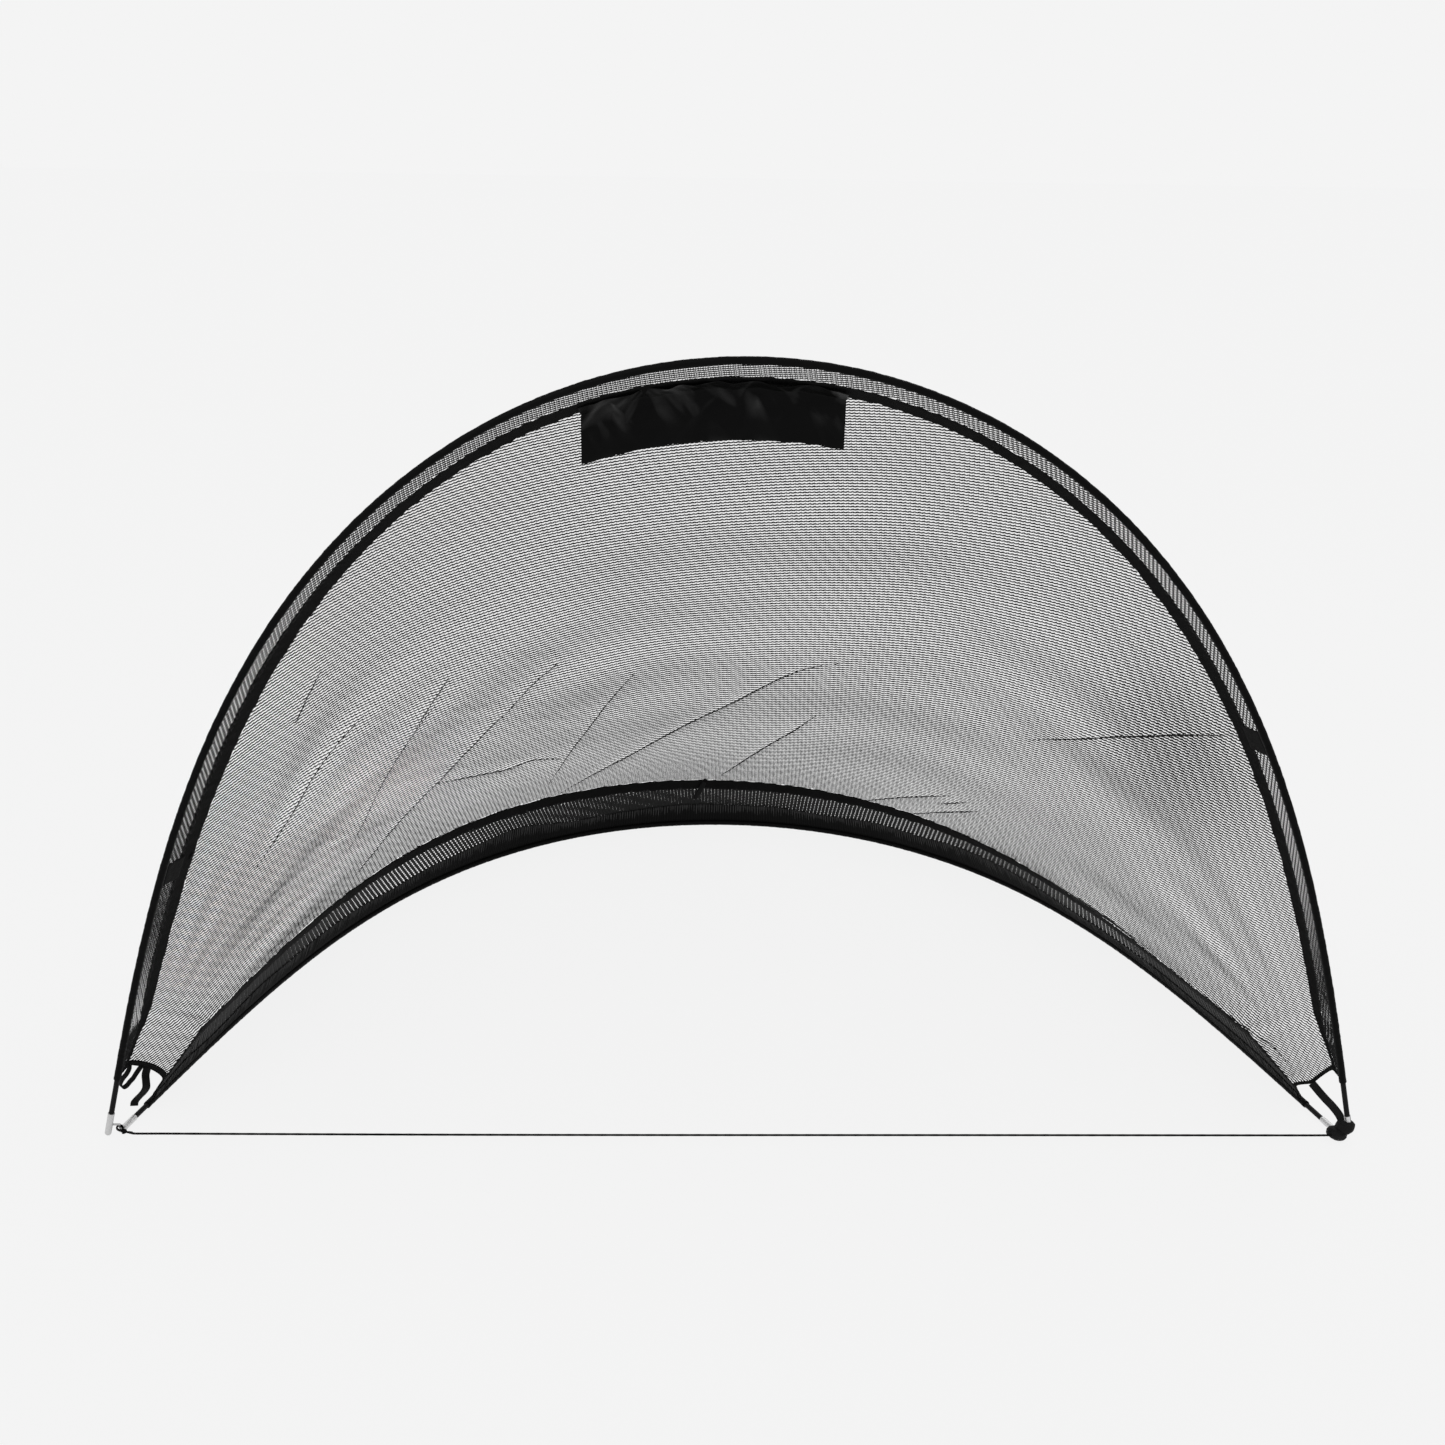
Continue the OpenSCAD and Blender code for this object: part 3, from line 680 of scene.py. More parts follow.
def flatten(p, rounds=50):
    """Lays the grid p out flat with as little stretch as possible."""
    nu, nt = p.shape[0] - 1, p.shape[1] - 1
    n = (nu + 1) * (nt + 1)
    idx = np.arange(n).reshape(nu + 1, nt + 1)
    a, b, c, d = idx[:-1, :-1].ravel(), idx[1:, :-1].ravel(), idx[1:, 1:].ravel(), idx[:-1, 1:].ravel()
    odd = (np.add.outer(np.arange(nu), np.arange(nt)) % 2).ravel() == 1
    tri = np.concatenate([np.stack([a, b, np.where(odd, c, d)], 1), np.stack([np.where(odd, a, b), c, d], 1)])
    v = p.reshape(-1, 3)
    pa, pb, pc = v[tri[:, 0]], v[tri[:, 1]], v[tri[:, 2]]
    e1, e2 = pb - pa, pc - pa
    l1 = np.linalg.norm(e1, axis=1)
    x1 = e1 / l1[:, None]
    loc = np.zeros((len(tri), 3, 2))
    loc[:, 1, 0], loc[:, 2, 0] = l1, (e2 * x1).sum(1)
    loc[:, 2, 1] = np.linalg.norm(np.cross(x1, e2), axis=1)
    cot = np.zeros((len(tri), 3))
    for k in range(3):
        s, q = loc[:, (k + 1) % 3] - loc[:, k], loc[:, (k + 2) % 3] - loc[:, k]
        cot[:, k] = (s * q).sum(1) / np.maximum(np.abs(s[:, 0] * q[:, 1] - s[:, 1] * q[:, 0]), 1e-9)
    m = np.zeros((n, n))
    for k in range(3):
        i, j, w = tri[:, (k + 1) % 3], tri[:, (k + 2) % 3], cot[:, k]
        np.add.at(m, (i, i), w), np.add.at(m, (j, j), w), np.add.at(m, (i, j), -w), np.add.at(m, (j, i), -w)
    inv = np.linalg.inv(m + np.eye(n) * 1e-7)
    mid = p[:, nt // 2]
    s = np.concatenate([[0], np.cumsum(np.linalg.norm(np.diff(mid, axis=0), axis=1))])
    s -= s[-1] / 2
    col = np.concatenate([np.zeros((nu + 1, 1)), np.cumsum(np.linalg.norm(np.diff(p, axis=1), axis=2), 1)], 1)
    x = np.stack([np.repeat(s[:, None], nt + 1, 1), -(col - col[:, nt // 2:nt // 2 + 1])], -1).reshape(-1, 2)
    e, f = x[tri[:, 1]] - x[tri[:, 0]], x[tri[:, 2]] - x[tri[:, 0]]
    loc[:, :, 1] *= np.sign((e[:, 0] * f[:, 1] - e[:, 1] * f[:, 0]).sum())
    for _ in range(rounds):
        cov = np.zeros((len(tri), 2, 2))
        for k in range(3):
            i, j = (k + 1) % 3, (k + 2) % 3
            cov += cot[:, k][:, None, None] * (x[tri[:, i]] - x[tri[:, j]])[:, :, None] * (loc[:, i] - loc[:, j])[:, None, :]
        th = np.arctan2(cov[:, 1, 0] - cov[:, 0, 1], cov[:, 0, 0] + cov[:, 1, 1])
        c, s2 = np.cos(th), np.sin(th)
        rhs = np.zeros((n, 2))
        for k in range(3):
            i, j = (k + 1) % 3, (k + 2) % 3
            d = (loc[:, i] - loc[:, j]) * cot[:, k][:, None]
            r = np.stack([c * d[:, 0] - s2 * d[:, 1], s2 * d[:, 0] + c * d[:, 1]], 1)
            np.add.at(rhs, tri[:, i], r), np.add.at(rhs, tri[:, j], -r)
        x = inv @ rhs
    x -= x.mean(0)
    return x.reshape(nu + 1, nt + 1, 2)


def raster(flat, place, step):
    """Turns flat coordinates (grid flat) into positions: place(i, j) gives points and facts for fractional grid indices."""
    n, m = flat.shape[:2]
    lo, hi = flat.reshape(-1, 2).min(0), flat.reshape(-1, 2).max(0)
    w, h = (np.ceil((hi - lo) / step).astype(int) + 1)
    ij = np.full((w, h, 2), np.nan)
    for i in range(n - 1):
        for j in range(m - 1):
            q00, q10, q11, q01 = flat[i, j], flat[i + 1, j], flat[i + 1, j + 1], flat[i, j + 1]
            for a, b, c, ia, ib, ic in ((q00, q10, q11, (0, 0), (1, 0), (1, 1)), (q00, q11, q01, (0, 0), (1, 1), (0, 1))):
                x0, x1 = min(a[0], b[0], c[0]), max(a[0], b[0], c[0])
                y0, y1 = min(a[1], b[1], c[1]), max(a[1], b[1], c[1])
                p0, p1 = int(math.ceil((x0 - lo[0]) / step - 1e-9)), int(math.floor((x1 - lo[0]) / step + 1e-9))
                r0, r1 = int(math.ceil((y0 - lo[1]) / step - 1e-9)), int(math.floor((y1 - lo[1]) / step + 1e-9))
                if p1 < p0 or r1 < r0:
                    continue
                gx = lo[0] + np.arange(p0, p1 + 1)[:, None] * step
                gy = lo[1] + np.arange(r0, r1 + 1)[None] * step
                det = (b[0] - a[0]) * (c[1] - a[1]) - (b[1] - a[1]) * (c[0] - a[0])
                if abs(det) < 1e-9:
                    continue
                s = ((gx - a[0]) * (c[1] - a[1]) - (gy - a[1]) * (c[0] - a[0])) / det
                t = ((b[0] - a[0]) * (gy - a[1]) - (b[1] - a[1]) * (gx - a[0])) / det
                ok = (s > -1e-6) & (t > -1e-6) & (s + t < 1 + 1e-6)
                if not ok.any():
                    continue
                fi = i + (1 - s - t) * ia[0] + s * ib[0] + t * ic[0]
                fj = j + (1 - s - t) * ia[1] + s * ib[1] + t * ic[1]
                part = ij[p0:p1 + 1, r0:r1 + 1]
                part[ok] = np.stack([fi, fj], -1)[ok]
    good = ~np.isnan(ij[..., 0])
    pos, facts = place(np.where(good, ij[..., 0], 0), np.where(good, ij[..., 1], 0))
    pos[~good] = np.nan
    facts[~good] = np.nan
    return dict(lo=lo, step=step, pos=pos, facts=facts)


def look(r, key, p, q):
    """Bilinear look-up in a raster; nan outside."""
    g = r[key]
    x, y = (p - r["lo"][0]) / r["step"], (q - r["lo"][1]) / r["step"]
    i, j = np.floor(x), np.floor(y)
    ok = (i >= 0) & (j >= 0) & (i < g.shape[0] - 1) & (j < g.shape[1] - 1)
    i, j = np.where(ok, i, 0).astype(int), np.where(ok, j, 0).astype(int)
    fx, fy = (x - i)[..., None], (y - j)[..., None]
    out = (1 - fx) * (1 - fy) * g[i, j] + fx * (1 - fy) * g[i + 1, j] + fx * fy * g[i + 1, j + 1] + (1 - fx) * fy * g[i, j + 1]
    out[~ok] = np.nan
    return out


def frac(g, i, j):
    """Bilinear value of grid g at fractional indices."""
    a, b = np.clip(np.floor(i).astype(int), 0, g.shape[0] - 2), np.clip(np.floor(j).astype(int), 0, g.shape[1] - 2)
    x, y = i - a, j - b
    if g.ndim == 3:
        x, y = x[..., None], y[..., None]
    return (1 - x) * (1 - y) * g[a, b] + x * (1 - y) * g[a + 1, b] + x * y * g[a + 1, b + 1] + (1 - x) * y * g[a, b + 1]


NET_X, NET_U, NET_T = net_grid()
NET_FLAT = flatten(net_pt(NET_U, NET_T))


def end_bow(left, k):
    """How far the net's end binding stands back from the corner, mm: it bows on the left and is drawn to the strap on the right."""
    inner = 12 * np.sin(np.pi * np.clip((k - 0.27) / 0.55, 0, 1))
    drawn = -15 * np.maximum(0, 1 - np.abs(k - 0.52) / 0.27) ** 1.4
    return np.where(left, inner, drawn)


def bulge(u, t):
    """Soft waves in the hanging net, mm along its outward normal; none at its edges."""
    s, v = u * 2600, t * 1500
    free = np.clip(4 * t * (1 - t), 0, 1) * smooth((np.minimum(u, 1 - u) - U_CLOTH) / 0.10)
    left = smooth((0.52 - u) / 0.25) * smooth((t - 0.25) / 0.5)
    w = 3.4 * wobble2(s, v, 21, 560, 2) + 0.7 * wobble2(s, v, 22, 200, 2, (2.4, 0.8), 0.9) * (0.35 + left)
    return w * free


def place_net(i, j):
    u, t = frac(NET_U, i, j), frac(NET_T, i, j)
    e = 2e-4
    p = net_pt(u, t)
    n = unit(np.cross(net_pt(u + e, t) - p, net_pt(u, t + e) - p))
    wide = np.linalg.norm(band_pt(u, NET_B) - border_pt(u, NET_A), axis=-1)
    p = p + n * bulge(u, t)[..., None]
    inside = np.minimum(t * wide, (1 - t) * wide)                       # mm from the nearer long edge
    ends = (np.minimum(u, 1 - u) - U_CLOTH) * FRONT_LEN - end_bow(u < 0.5, 0.3 + 0.36 * np.clip(t, 0, 1))   # mm from the end binding
    return np.concatenate([p], -1), np.stack([n[..., 0], n[..., 1], n[..., 2], inside, ends], -1)


NET = raster(NET_FLAT, place_net, 5.0)

# How the rows and columns of the knitted net lie in the flat cloth: the row
# number and the column number are polynomials of p / 1000 and q / 700. The
# rows draw together towards both corners and rise to the right.
ROW_FIT = (((0, 1), (0, 2), (0, 3), (0, 4), (0, 5), (1, 0), (1, 1), (1, 2), (1, 3), (1, 4),
            (2, 0), (2, 1), (2, 2), (2, 3), (3, 0), (3, 1), (3, 2), (4, 0), (4, 1), (5, 0)),
           (76.095, 4.5098, 2.6524, 0.49991, 2.989, -26.235, 9.2859, -2.0995, -2.1665, 0.50915,
            -64.95, 24.432, -3.821, 6.7697, 7.8561, -2.4201, -5.1215, 3.5494, 23.856, -0.20251))
COL_FIT = (((0, 1), (0, 2), (0, 3), (0, 4), (1, 0), (1, 1), (1, 2), (1, 3), (2, 0), (2, 1), (2, 2), (3, 0), (3, 1), (4, 0)),
           (5.6147, 1.3537, 0.81271, 0.37276, 141.78, 6.7112, 5.409, 0.21207, -8.8065, 1.1516, -1.3285, -8.482, 12.486, 4.4202))
TOP_EDGE = NET_FLAT[np.argsort(NET_FLAT[:, 0, 0]), 0]
LOW_EDGE = NET_FLAT[np.argsort(NET_FLAT[:, -1, 0]), -1]


def layout(p, q):
    """Row and column number at flat points with their slopes; straight on beyond the net's edge."""
    pc = np.clip(p, -1235, 1235)
    hi, lo = np.interp(pc, TOP_EDGE[:, 0], TOP_EDGE[:, 1]), np.interp(pc, LOW_EDGE[:, 0], LOW_EDGE[:, 1])
    qc = np.clip(q, lo, hi)
    pw = [np.ones_like(pc)]
    qw = [np.ones_like(qc)]
    for _ in range(5):
        pw.append(pw[-1] * pc / 1000)
        qw.append(qw[-1] * qc / 700)
    out = []
    for powers, coef in (ROW_FIT, COL_FIT):
        v = fp = fq = 0 * pc
        for (a, b), k in zip(powers, coef):
            v = v + k * pw[a] * qw[b]
            if a:
                fp = fp + k * a * pw[a - 1] * qw[b] / 1000
            if b:
                fq = fq + k * b * pw[a] * qw[b - 1] / 700
        out.append((v + fp * (p - pc) + fq * (q - qc), fp, fq))
    return out


def solve(row, col, p, q, rounds):
    """Flat points of given row and column numbers, from a near guess."""
    for _ in range(rounds):
        (r, rp, rq), (c, cp, cq) = layout(p, q)
        det = rp * cq - rq * cp
        det = np.where(np.abs(det) < 1e-7, 1e-7, det)
        dp, dq = ((row - r) * cq - (col - c) * rq) / det, ((col - c) * rp - (row - r) * cp) / det
        g = np.minimum(1, 12 / np.maximum(np.hypot(dp, dq), 1e-9))
        p, q = p + dp * g, q + dq * g
    return p, q


def net_layout(per=4, room=26):
    """Flat points of every row at every quarter column, with the row number's slope and both spacings."""
    rim = np.concatenate([TOP_EDGE, LOW_EDGE])
    (r, _, _), (c, _, _) = layout(rim[:, 0], rim[:, 1])
    rows = np.arange(int(r.min()) - room, int(r.max()) + room + 1)
    n_col = int(max(-c.min(), c.max())) + room
    start = {0: (0.0, 0.0)}
    for step in (1, -1):
        p = q = 0.0
        n = 0
        while rows[0] <= n + step <= rows[-1]:
            n += step
            p, q = solve(np.array([float(n)]), np.array([0.0]), np.array([p]), np.array([q]), 6)
            p, q = float(p[0]), float(q[0])
            start[n] = (p, q)
    lp = np.zeros((len(rows), 2 * n_col * per + 1))
    lq = lp.copy()
    mid = n_col * per
    lp[:, mid], lq[:, mid] = np.array([start[int(n)] for n in rows]).T
    rn = rows.astype(float)
    for step in (1, -1):
        for k in range(1, mid + 1):
            i = mid + step * k
            gp, gq = lp[:, i - step], lq[:, i - step]
            if k > 1:
                gp, gq = 2 * gp - lp[:, i - 2 * step], 2 * gq - lq[:, i - 2 * step]
            else:
                gp = gp + step * 1.7
            lp[:, i], lq[:, i] = solve(rn, np.full(len(rn), step * k / per), gp, gq, 2)
    (r, rp, rq), (c, cp, cq) = layout(lp, lq)
    k = np.arange(-mid, mid + 1) / per
    good = (np.abs(r - rn[:, None]) < 0.05) & (np.abs(c - k[None]) < 0.05)
    lp[~good] = np.nan
    g2 = np.maximum(rp ** 2 + rq ** 2, 1e-9)
    return dict(row=rn, col=k, p=lp, q=lq, up=np.stack([rp / g2, rq / g2]), gap=np.clip(1 / np.sqrt(g2), 3.0, 14.0),
                side=np.clip(1 / np.sqrt(np.maximum(cp ** 2 + cq ** 2, 1e-9)), 3.0, 12.0), mid=mid, per=per)


LAYOUT = net_layout()

# Creases: lines in the flat cloth (mm), height of the ridge, how much cloth is folded in.
CREASES = [
    ([(-330, -712), (-174, -571), (-68, -432), (22, -301), (118, -135), (206, -45)], 5.0, 2.6),
    ([(7, -743), (78, -558), (137, -417), (177, -305)], 4.0, 2.2),
    ([(-155, -132), (-211, -269), (-283, -467), (-337, -614)], 4.0, 1.9),
    ([(-278, -17), (-342, -83), (-404, -172)], 3.0, 1.2),
    ([(-541, -284), (-469, -367), (-404, -426), (-358, -438), (-284, -513)], 4.0, 2.0),
    ([(-373, -133), (-510, -259), (-563, -286), (-739, -337), (-772, -326)], 4.0, 2.3),
    ([(-498, 43), (-555, -12), (-644, -113), (-739, -208)], 3.0, 1.3),
    ([(-604, 165), (-714, 129), (-800, 91), (-901, 68)], 3.0, 1.6),
    ([(-691, 325), (-722, 294)], 2.0, 1.8),
    ([(-651, 365), (-705, 313)], 2.0, 1.2),
    ([(-471, 98), (-552, -4)], 3.0, 1.9),
    ([(795, 384), (725, 281), (638, 144), (530, -40)], 2.5, 1.8),
    ([(300, -712), (448, -452)], 3.5, 2.2),
    ([(390, -670), (516, -420)], 3.0, 2.0),
    ([(440, -514), (483, -429)], 2.0, 1.5),
    ([(685, -445), (775, -356), (873, -262)], 2.5, 1.8),
    ([(720, -420), (810, -330), (905, -235)], 2.0, 1.4),
    ([(980, -174), (1127, -46), (1203, -21)], 2.0, 1.6),
]


def crease_shift(p, q):
    """In-plane shift (dp, dq) and ridge height at flat points, from all creases."""
    dp, dq, h = 0 * p, 0 * p, 0 * p
    for line, high, tuck in CREASES:
        line = catmull(np.array(line, float), 6)
        lo, hi = line.min(0) - 90, line.max(0) + 90
        near = np.flatnonzero((p > lo[0]) & (p < hi[0]) & (q > lo[1]) & (q < hi[1]))
        if not len(near):
            continue
        x, y = p[near], q[near]
        best, sd, along, nx, ny = np.full(len(near), 1e9), 0 * x, 0 * x, 0 * x, 0 * x
        seg = np.diff(line, axis=0)
        ln = np.linalg.norm(seg, axis=1)
        cum = np.concatenate([[0], np.cumsum(ln)])
        for k in range(len(seg)):
            t = np.clip(((x - line[k, 0]) * seg[k, 0] + (y - line[k, 1]) * seg[k, 1]) / ln[k] ** 2, 0, 1)
            ex, ey = x - line[k, 0] - t * seg[k, 0], y - line[k, 1] - t * seg[k, 1]
            d = np.hypot(ex, ey)
            ux, uy = -seg[k, 1] / ln[k], seg[k, 0] / ln[k]
            side = np.sign(ex * ux + ey * uy)
            m = d < best
            best[m], sd[m], along[m] = d[m], (side * d)[m], (cum[k] + t * ln[k])[m]
            nx[m], ny[m] = ux, uy
        total = cum[-1]
        fade = smooth(along / (0.22 * total)) * smooth((total - along) / (0.30 * total)) * 0.92 + 0.08
        fade = fade * np.exp(-np.maximum(best - np.abs(sd) - 1e-6, 0))
        fade *= 0.8 + 0.35 * np.sin(along / 17.0) * np.sin(along / 41.0)
        pull = -1.3 * tuck * np.tanh(sd / 1.6) * np.exp(-np.abs(sd) / 26) * fade
        dp[near] += pull * nx
        dq[near] += pull * ny
        h[near] += 0.5 * high * fade * (np.exp(-np.abs(sd) / 13) - 0.35 * np.exp(-(sd / 45) ** 2))
    return dp, dq, h


def yarn_mesh(p3, n3, use, width, thick):
    """Open-ended flat tubes along the rows of p3 (lines, points, 3) where both ends of a piece are in use."""
    lines, pts = p3.shape[:2]
    t = np.empty_like(p3)
    t[:, 1:-1] = p3[:, 2:] - p3[:, :-2]
    t[:, 0], t[:, -1] = p3[:, 1] - p3[:, 0], p3[:, -1] - p3[:, -2]
    side = np.where(use, 1, 0)
    first = use & ~np.concatenate([np.zeros((lines, 1), bool), use[:, :-1]], 1)
    last = use & ~np.concatenate([use[:, 1:], np.zeros((lines, 1), bool)], 1)
    f, l = np.nonzero(first), np.nonzero(last)
    ok = f[1] < pts - 1
    t[f[0][ok], f[1][ok]] = p3[f[0][ok], f[1][ok] + 1] - p3[f[0][ok], f[1][ok]]
    ok = l[1] > 0
    t[l[0][ok], l[1][ok]] = p3[l[0][ok], l[1][ok]] - p3[l[0][ok], l[1][ok] - 1]
    t = unit(np.nan_to_num(t))
    b = unit(np.cross(n3, t))
    n = np.cross(t, b)
    w = np.broadcast_to(np.asarray(width, float), (lines, pts))[..., None] / 2
    h = np.broadcast_to(np.asarray(thick, float), (lines, pts))[..., None] / 2
    v = np.stack([p3 + b * w + n * h, p3 + b * w - n * h, p3 - b * w - n * h, p3 - b * w + n * h], 2)
    seg = use[:, :-1] & use[:, 1:]
    li, pi = np.nonzero(seg)
    base = (li * pts + pi) * 4
    k = np.arange(4)
    k2 = (k + 1) % 4
    q = np.stack([base[:, None] + k, base[:, None] + 4 + k, base[:, None] + 4 + k2, base[:, None] + k2], -1)
    return v.reshape(-1, 3), q, (li, pi)


def build(name, parts, material):
    """One object from (points, quads) lists, without unused points."""
    vs, qs, base = [], [], 0
    for v, q in parts:
        q = q.reshape(-1, 4)
        if not len(q):
            continue
        used, back = np.unique(q, return_inverse=True)
        vs.append(v[used])
        qs.append(back.reshape(-1, 4) + base)
        base += len(used)
    v = np.concatenate(vs)
    return mesh_object(name, v, np.concatenate(qs), material)


def knit(r, edge_room, end_room, shift=(0.0, 0.0), turn=0.0, off=0.0, creases=False, strips=None, row_w=3.35, col_w=0.3, wave=0.105,
         scale=None):
    """Yarns of the knitted net over raster r. Returns, for each strip of cloth, (points, quads) of its rows and columns."""
    lo = r["lo"]
    hi = lo + (np.array(r["pos"].shape[:2]) - 1) * r["step"]
    c, s = math.cos(turn), math.sin(turn)

    def position(p, q, lift):
        p0, q0 = p - shift[0], q - shift[1]
        p0, q0 = c * p0 - s * q0, s * p0 + c * q0
        near = (p0 > lo[0]) & (p0 < hi[0]) & (q0 > lo[1]) & (q0 < hi[1])
        p0, q0 = np.where(near, p0, lo[0] - 50), np.where(near, q0, lo[1] - 50)
        ridge = 0 * p0
        if creases:
            fp, fq = p0.ravel(), q0.ravel()
            keep = np.flatnonzero(near.ravel())
            dp, dq, hh = np.zeros(len(fp)), np.zeros(len(fp)), np.zeros(len(fp))
            dp[keep], dq[keep], hh[keep] = crease_shift(fp[keep], fq[keep])
            p0, q0, ridge = p0 + dp.reshape(p0.shape), q0 + dq.reshape(p0.shape), hh.reshape(p0.shape)
        pos, fa = look(r, "pos", p0, q0), look(r, "facts", p0, q0)
        n = unit(fa[..., :3])
        use = (fa[..., 3] > -edge_room) & (fa[..., 4] > -end_room)
        use &= ~np.isnan(pos[..., 0])
        return pos + n * (off + lift - ridge)[..., None], n, use, p0, q0

    out = [[] for _ in range(len(strips) + 1 if strips is not None else 1)]
    lay = LAYOUT
    rn, cn = lay["row"][:, None], lay["col"][None]
    sway = wave * np.sin(2 * np.pi * cn + 0.35) + 0.013 * np.sin(rn * 1.7) + 0.012 * np.sin(cn * 0.61 + rn)
    p, q = lay["p"] + sway * lay["up"][0], lay["q"] + sway * lay["up"][1]
    # rows
    pos, n, use, p0, q0 = position(p, q, 0.18 * np.cos(2 * np.pi * cn) + 0 * p)
    width = row_w * (lay["gap"] / 8.9) ** 1.0 * (1 + 0.10 * np.sin(cn * 2.3 + rn * 0.9))
    if scale is not None:
        width = width * scale(p0, q0)
    v, quads, (li, pi) = yarn_mesh(pos, n, use, width, 0.5)
    strip_of = np.digitize(p0[li, pi], strips) if strips is not None else np.zeros(len(li), int)
    for g in range(len(out)):
        out[g].append((v, quads[strip_of == g]))
    # columns: from row to row at the crest of the wave
    at = np.arange(lay["mid"] % lay["per"] + 1, p.shape[1], lay["per"])
    rq, cc = lay["row"][None], lay["col"][at][:, None]
    pos, n, use, p0, q0 = position(p[:, at].T + 0.2 * np.sin(rq * 1.9 + cc), q[:, at].T, -0.3 + 0 * p[:, at].T)
    width = col_w * (lay["side"][:, at].T / 6.9) ** 0.5
    if scale is not None:
        width = width * scale(p0, q0)
    v, quads, (li, pi) = yarn_mesh(pos, n, use, width, 0.4)
    strip_of = np.digitize(p0[li, pi], strips) if strips is not None else np.zeros(len(li), int)
    for g in range(len(out)):
        out[g].append((v, quads[strip_of == g]))
    return out


# ------------------------------------------------------------------ the net
STRIPS = np.array([-710.0, -495.0, -312.0, -154.0, 0.0, 154.0, 312.0, 495.0, 722.0])


def dense(p, q):
    """Where the hanging net's loops are drawn together."""
    p, q = np.nan_to_num(p), np.nan_to_num(q)
    low = smooth((200 - q) / 420)
    right = np.exp(-((p - 740) / 130) ** 2 - ((q - 240) / 170) ** 2)
    left = smooth((-700 - p) / 300)
    rim = np.maximum(q - np.interp(p, LOW_EDGE[:, 0], LOW_EDGE[:, 1]), 0)
    gathered = np.exp(-rim / 48) * smooth((np.abs(p) - 380) / 260)
    return 1 + 0.05 * low + 0.46 * right + 0.13 * left + (0.27 + 0.11 * np.sign(p)) * gathered


def pleats():
    """The cloth's folded edge along each crease: a narrow band of doubled yarn seen edge on."""
    out = []
    for line, high, tuck in CREASES:
        line = catmull(np.array(line, float), 8)
        d = np.concatenate([[0], np.cumsum(np.linalg.norm(np.diff(line, axis=0), axis=1))])
        at = np.arange(0, d[-1], 2.5)
        p, q = np.interp(at, d, line[:, 0]), np.interp(at, d, line[:, 1])
        w = smooth(at / (0.25 * d[-1])) * smooth((d[-1] - at) / (0.35 * d[-1]))
        w = (0.45 + 0.75 * tuck * w) * (0.75 + 0.4 * wobble(at + 997 * tuck, 27, 60, 2))
        q = q + 0.8 * wobble(at, 28, 34, 2)
        pos, fa = look(NET, "pos", p, q), look(NET, "facts", p, q)
        use = ~np.isnan(pos[:, 0]) & (fa[:, 3] > -3) & (w > 0.35)
        n = unit(fa[:, :3])
        pos = pos - n * 0.6
        out.append((yarn_mesh(pos[None], n[None], use[None], np.clip(w, 0.4, 2.4)[None], 0.7), p))
    return out


net_parts = knit(NET, 5.0, 3.0, creases=True, strips=STRIPS, scale=dense)
for (v, quads, (li, pi)), p in pleats():
    strip_of = np.digitize(p[pi], STRIPS)
    for g in range(len(net_parts)):
        net_parts[g].append((v, quads[strip_of == g]))
net_objects = []
for g, parts in enumerate(net_parts):
    o = build(f"net_panel_{g + 1}", parts, M_NET)
    folds(o, *(["net_panel"] if g == 0 else []), slot="net")
    net_objects.append(o)


def face_area(o):
    me = o.data
    a = np.zeros(len(me.polygons), np.float32)
    me.polygons.foreach_get("area", a)
    return float(a.sum())


def flat_area_of(lo_p, hi_p):
    """Area (m2) of the flat cloth between two p's, from the flat grid inside the sewn edges."""
    f = NET_FLAT[1:-1, 1:-1]
    a, b, c, d = f[:-1, :-1], f[1:, :-1], f[1:, 1:], f[:-1, 1:]
    cr = lambda x, y: x[..., 0] * y[..., 1] - x[..., 1] * y[..., 0]
    ar = np.abs(cr(b - a, c - a)) / 2 + np.abs(cr(c - a, d - a)) / 2
    mid = (a + b + c + d)[..., 0] / 4
    sel = (mid >= lo_p) & (mid < hi_p)
    return float(ar[sel].sum()) * 1e-6, f.reshape(-1, 2)


edges_p = [NET_FLAT[..., 0].min(), *STRIPS, NET_FLAT[..., 0].max()]
for g, o in enumerate(net_objects):
    lo_p, hi_p = edges_p[g], edges_p[g + 1]
    area, pts_ = flat_area_of(lo_p - (1 if g == 0 else 0), hi_p + (1 if g == len(net_objects) - 1 else 0))
    sel = pts_[(pts_[:, 0] >= lo_p - 30) & (pts_[:, 0] <= hi_p + 30)]
    wide, tall = (hi_p - lo_p) * MM, (sel[:, 1].max() - sel[:, 1].min()) * MM
    area = min(area, wide * tall)


# ------------------------------------------------ border and band, flat plan
def edge_plan(which):
    """Flat places of the net's front (0) or ground (1) edge with the outward direction there."""
    u = np.linspace(U_CLOTH * 0.985, 1 - U_CLOTH * 0.985, 260)
    xs = np.interp(u, u_of(NET_X), np.arange(len(NET_X)))
    e = 8.0 / np.linalg.norm(band_pt(u, NET_B) - border_pt(u, NET_A), axis=-1)
    tau = (e + which) / (1 + 2 * e) * NT
    p = frac(NET_FLAT, xs, tau)
    sm = p.copy()
    for _ in range(6):
        sm[1:-1] = (sm[:-2] + 2 * sm[1:-1] + sm[2:]) / 4
    t = unit(np.gradient(sm, axis=0))
    n = np.stack([-t[:, 1], t[:, 0]], 1) * (1 if which == 0 else -1)
    return u, p, n


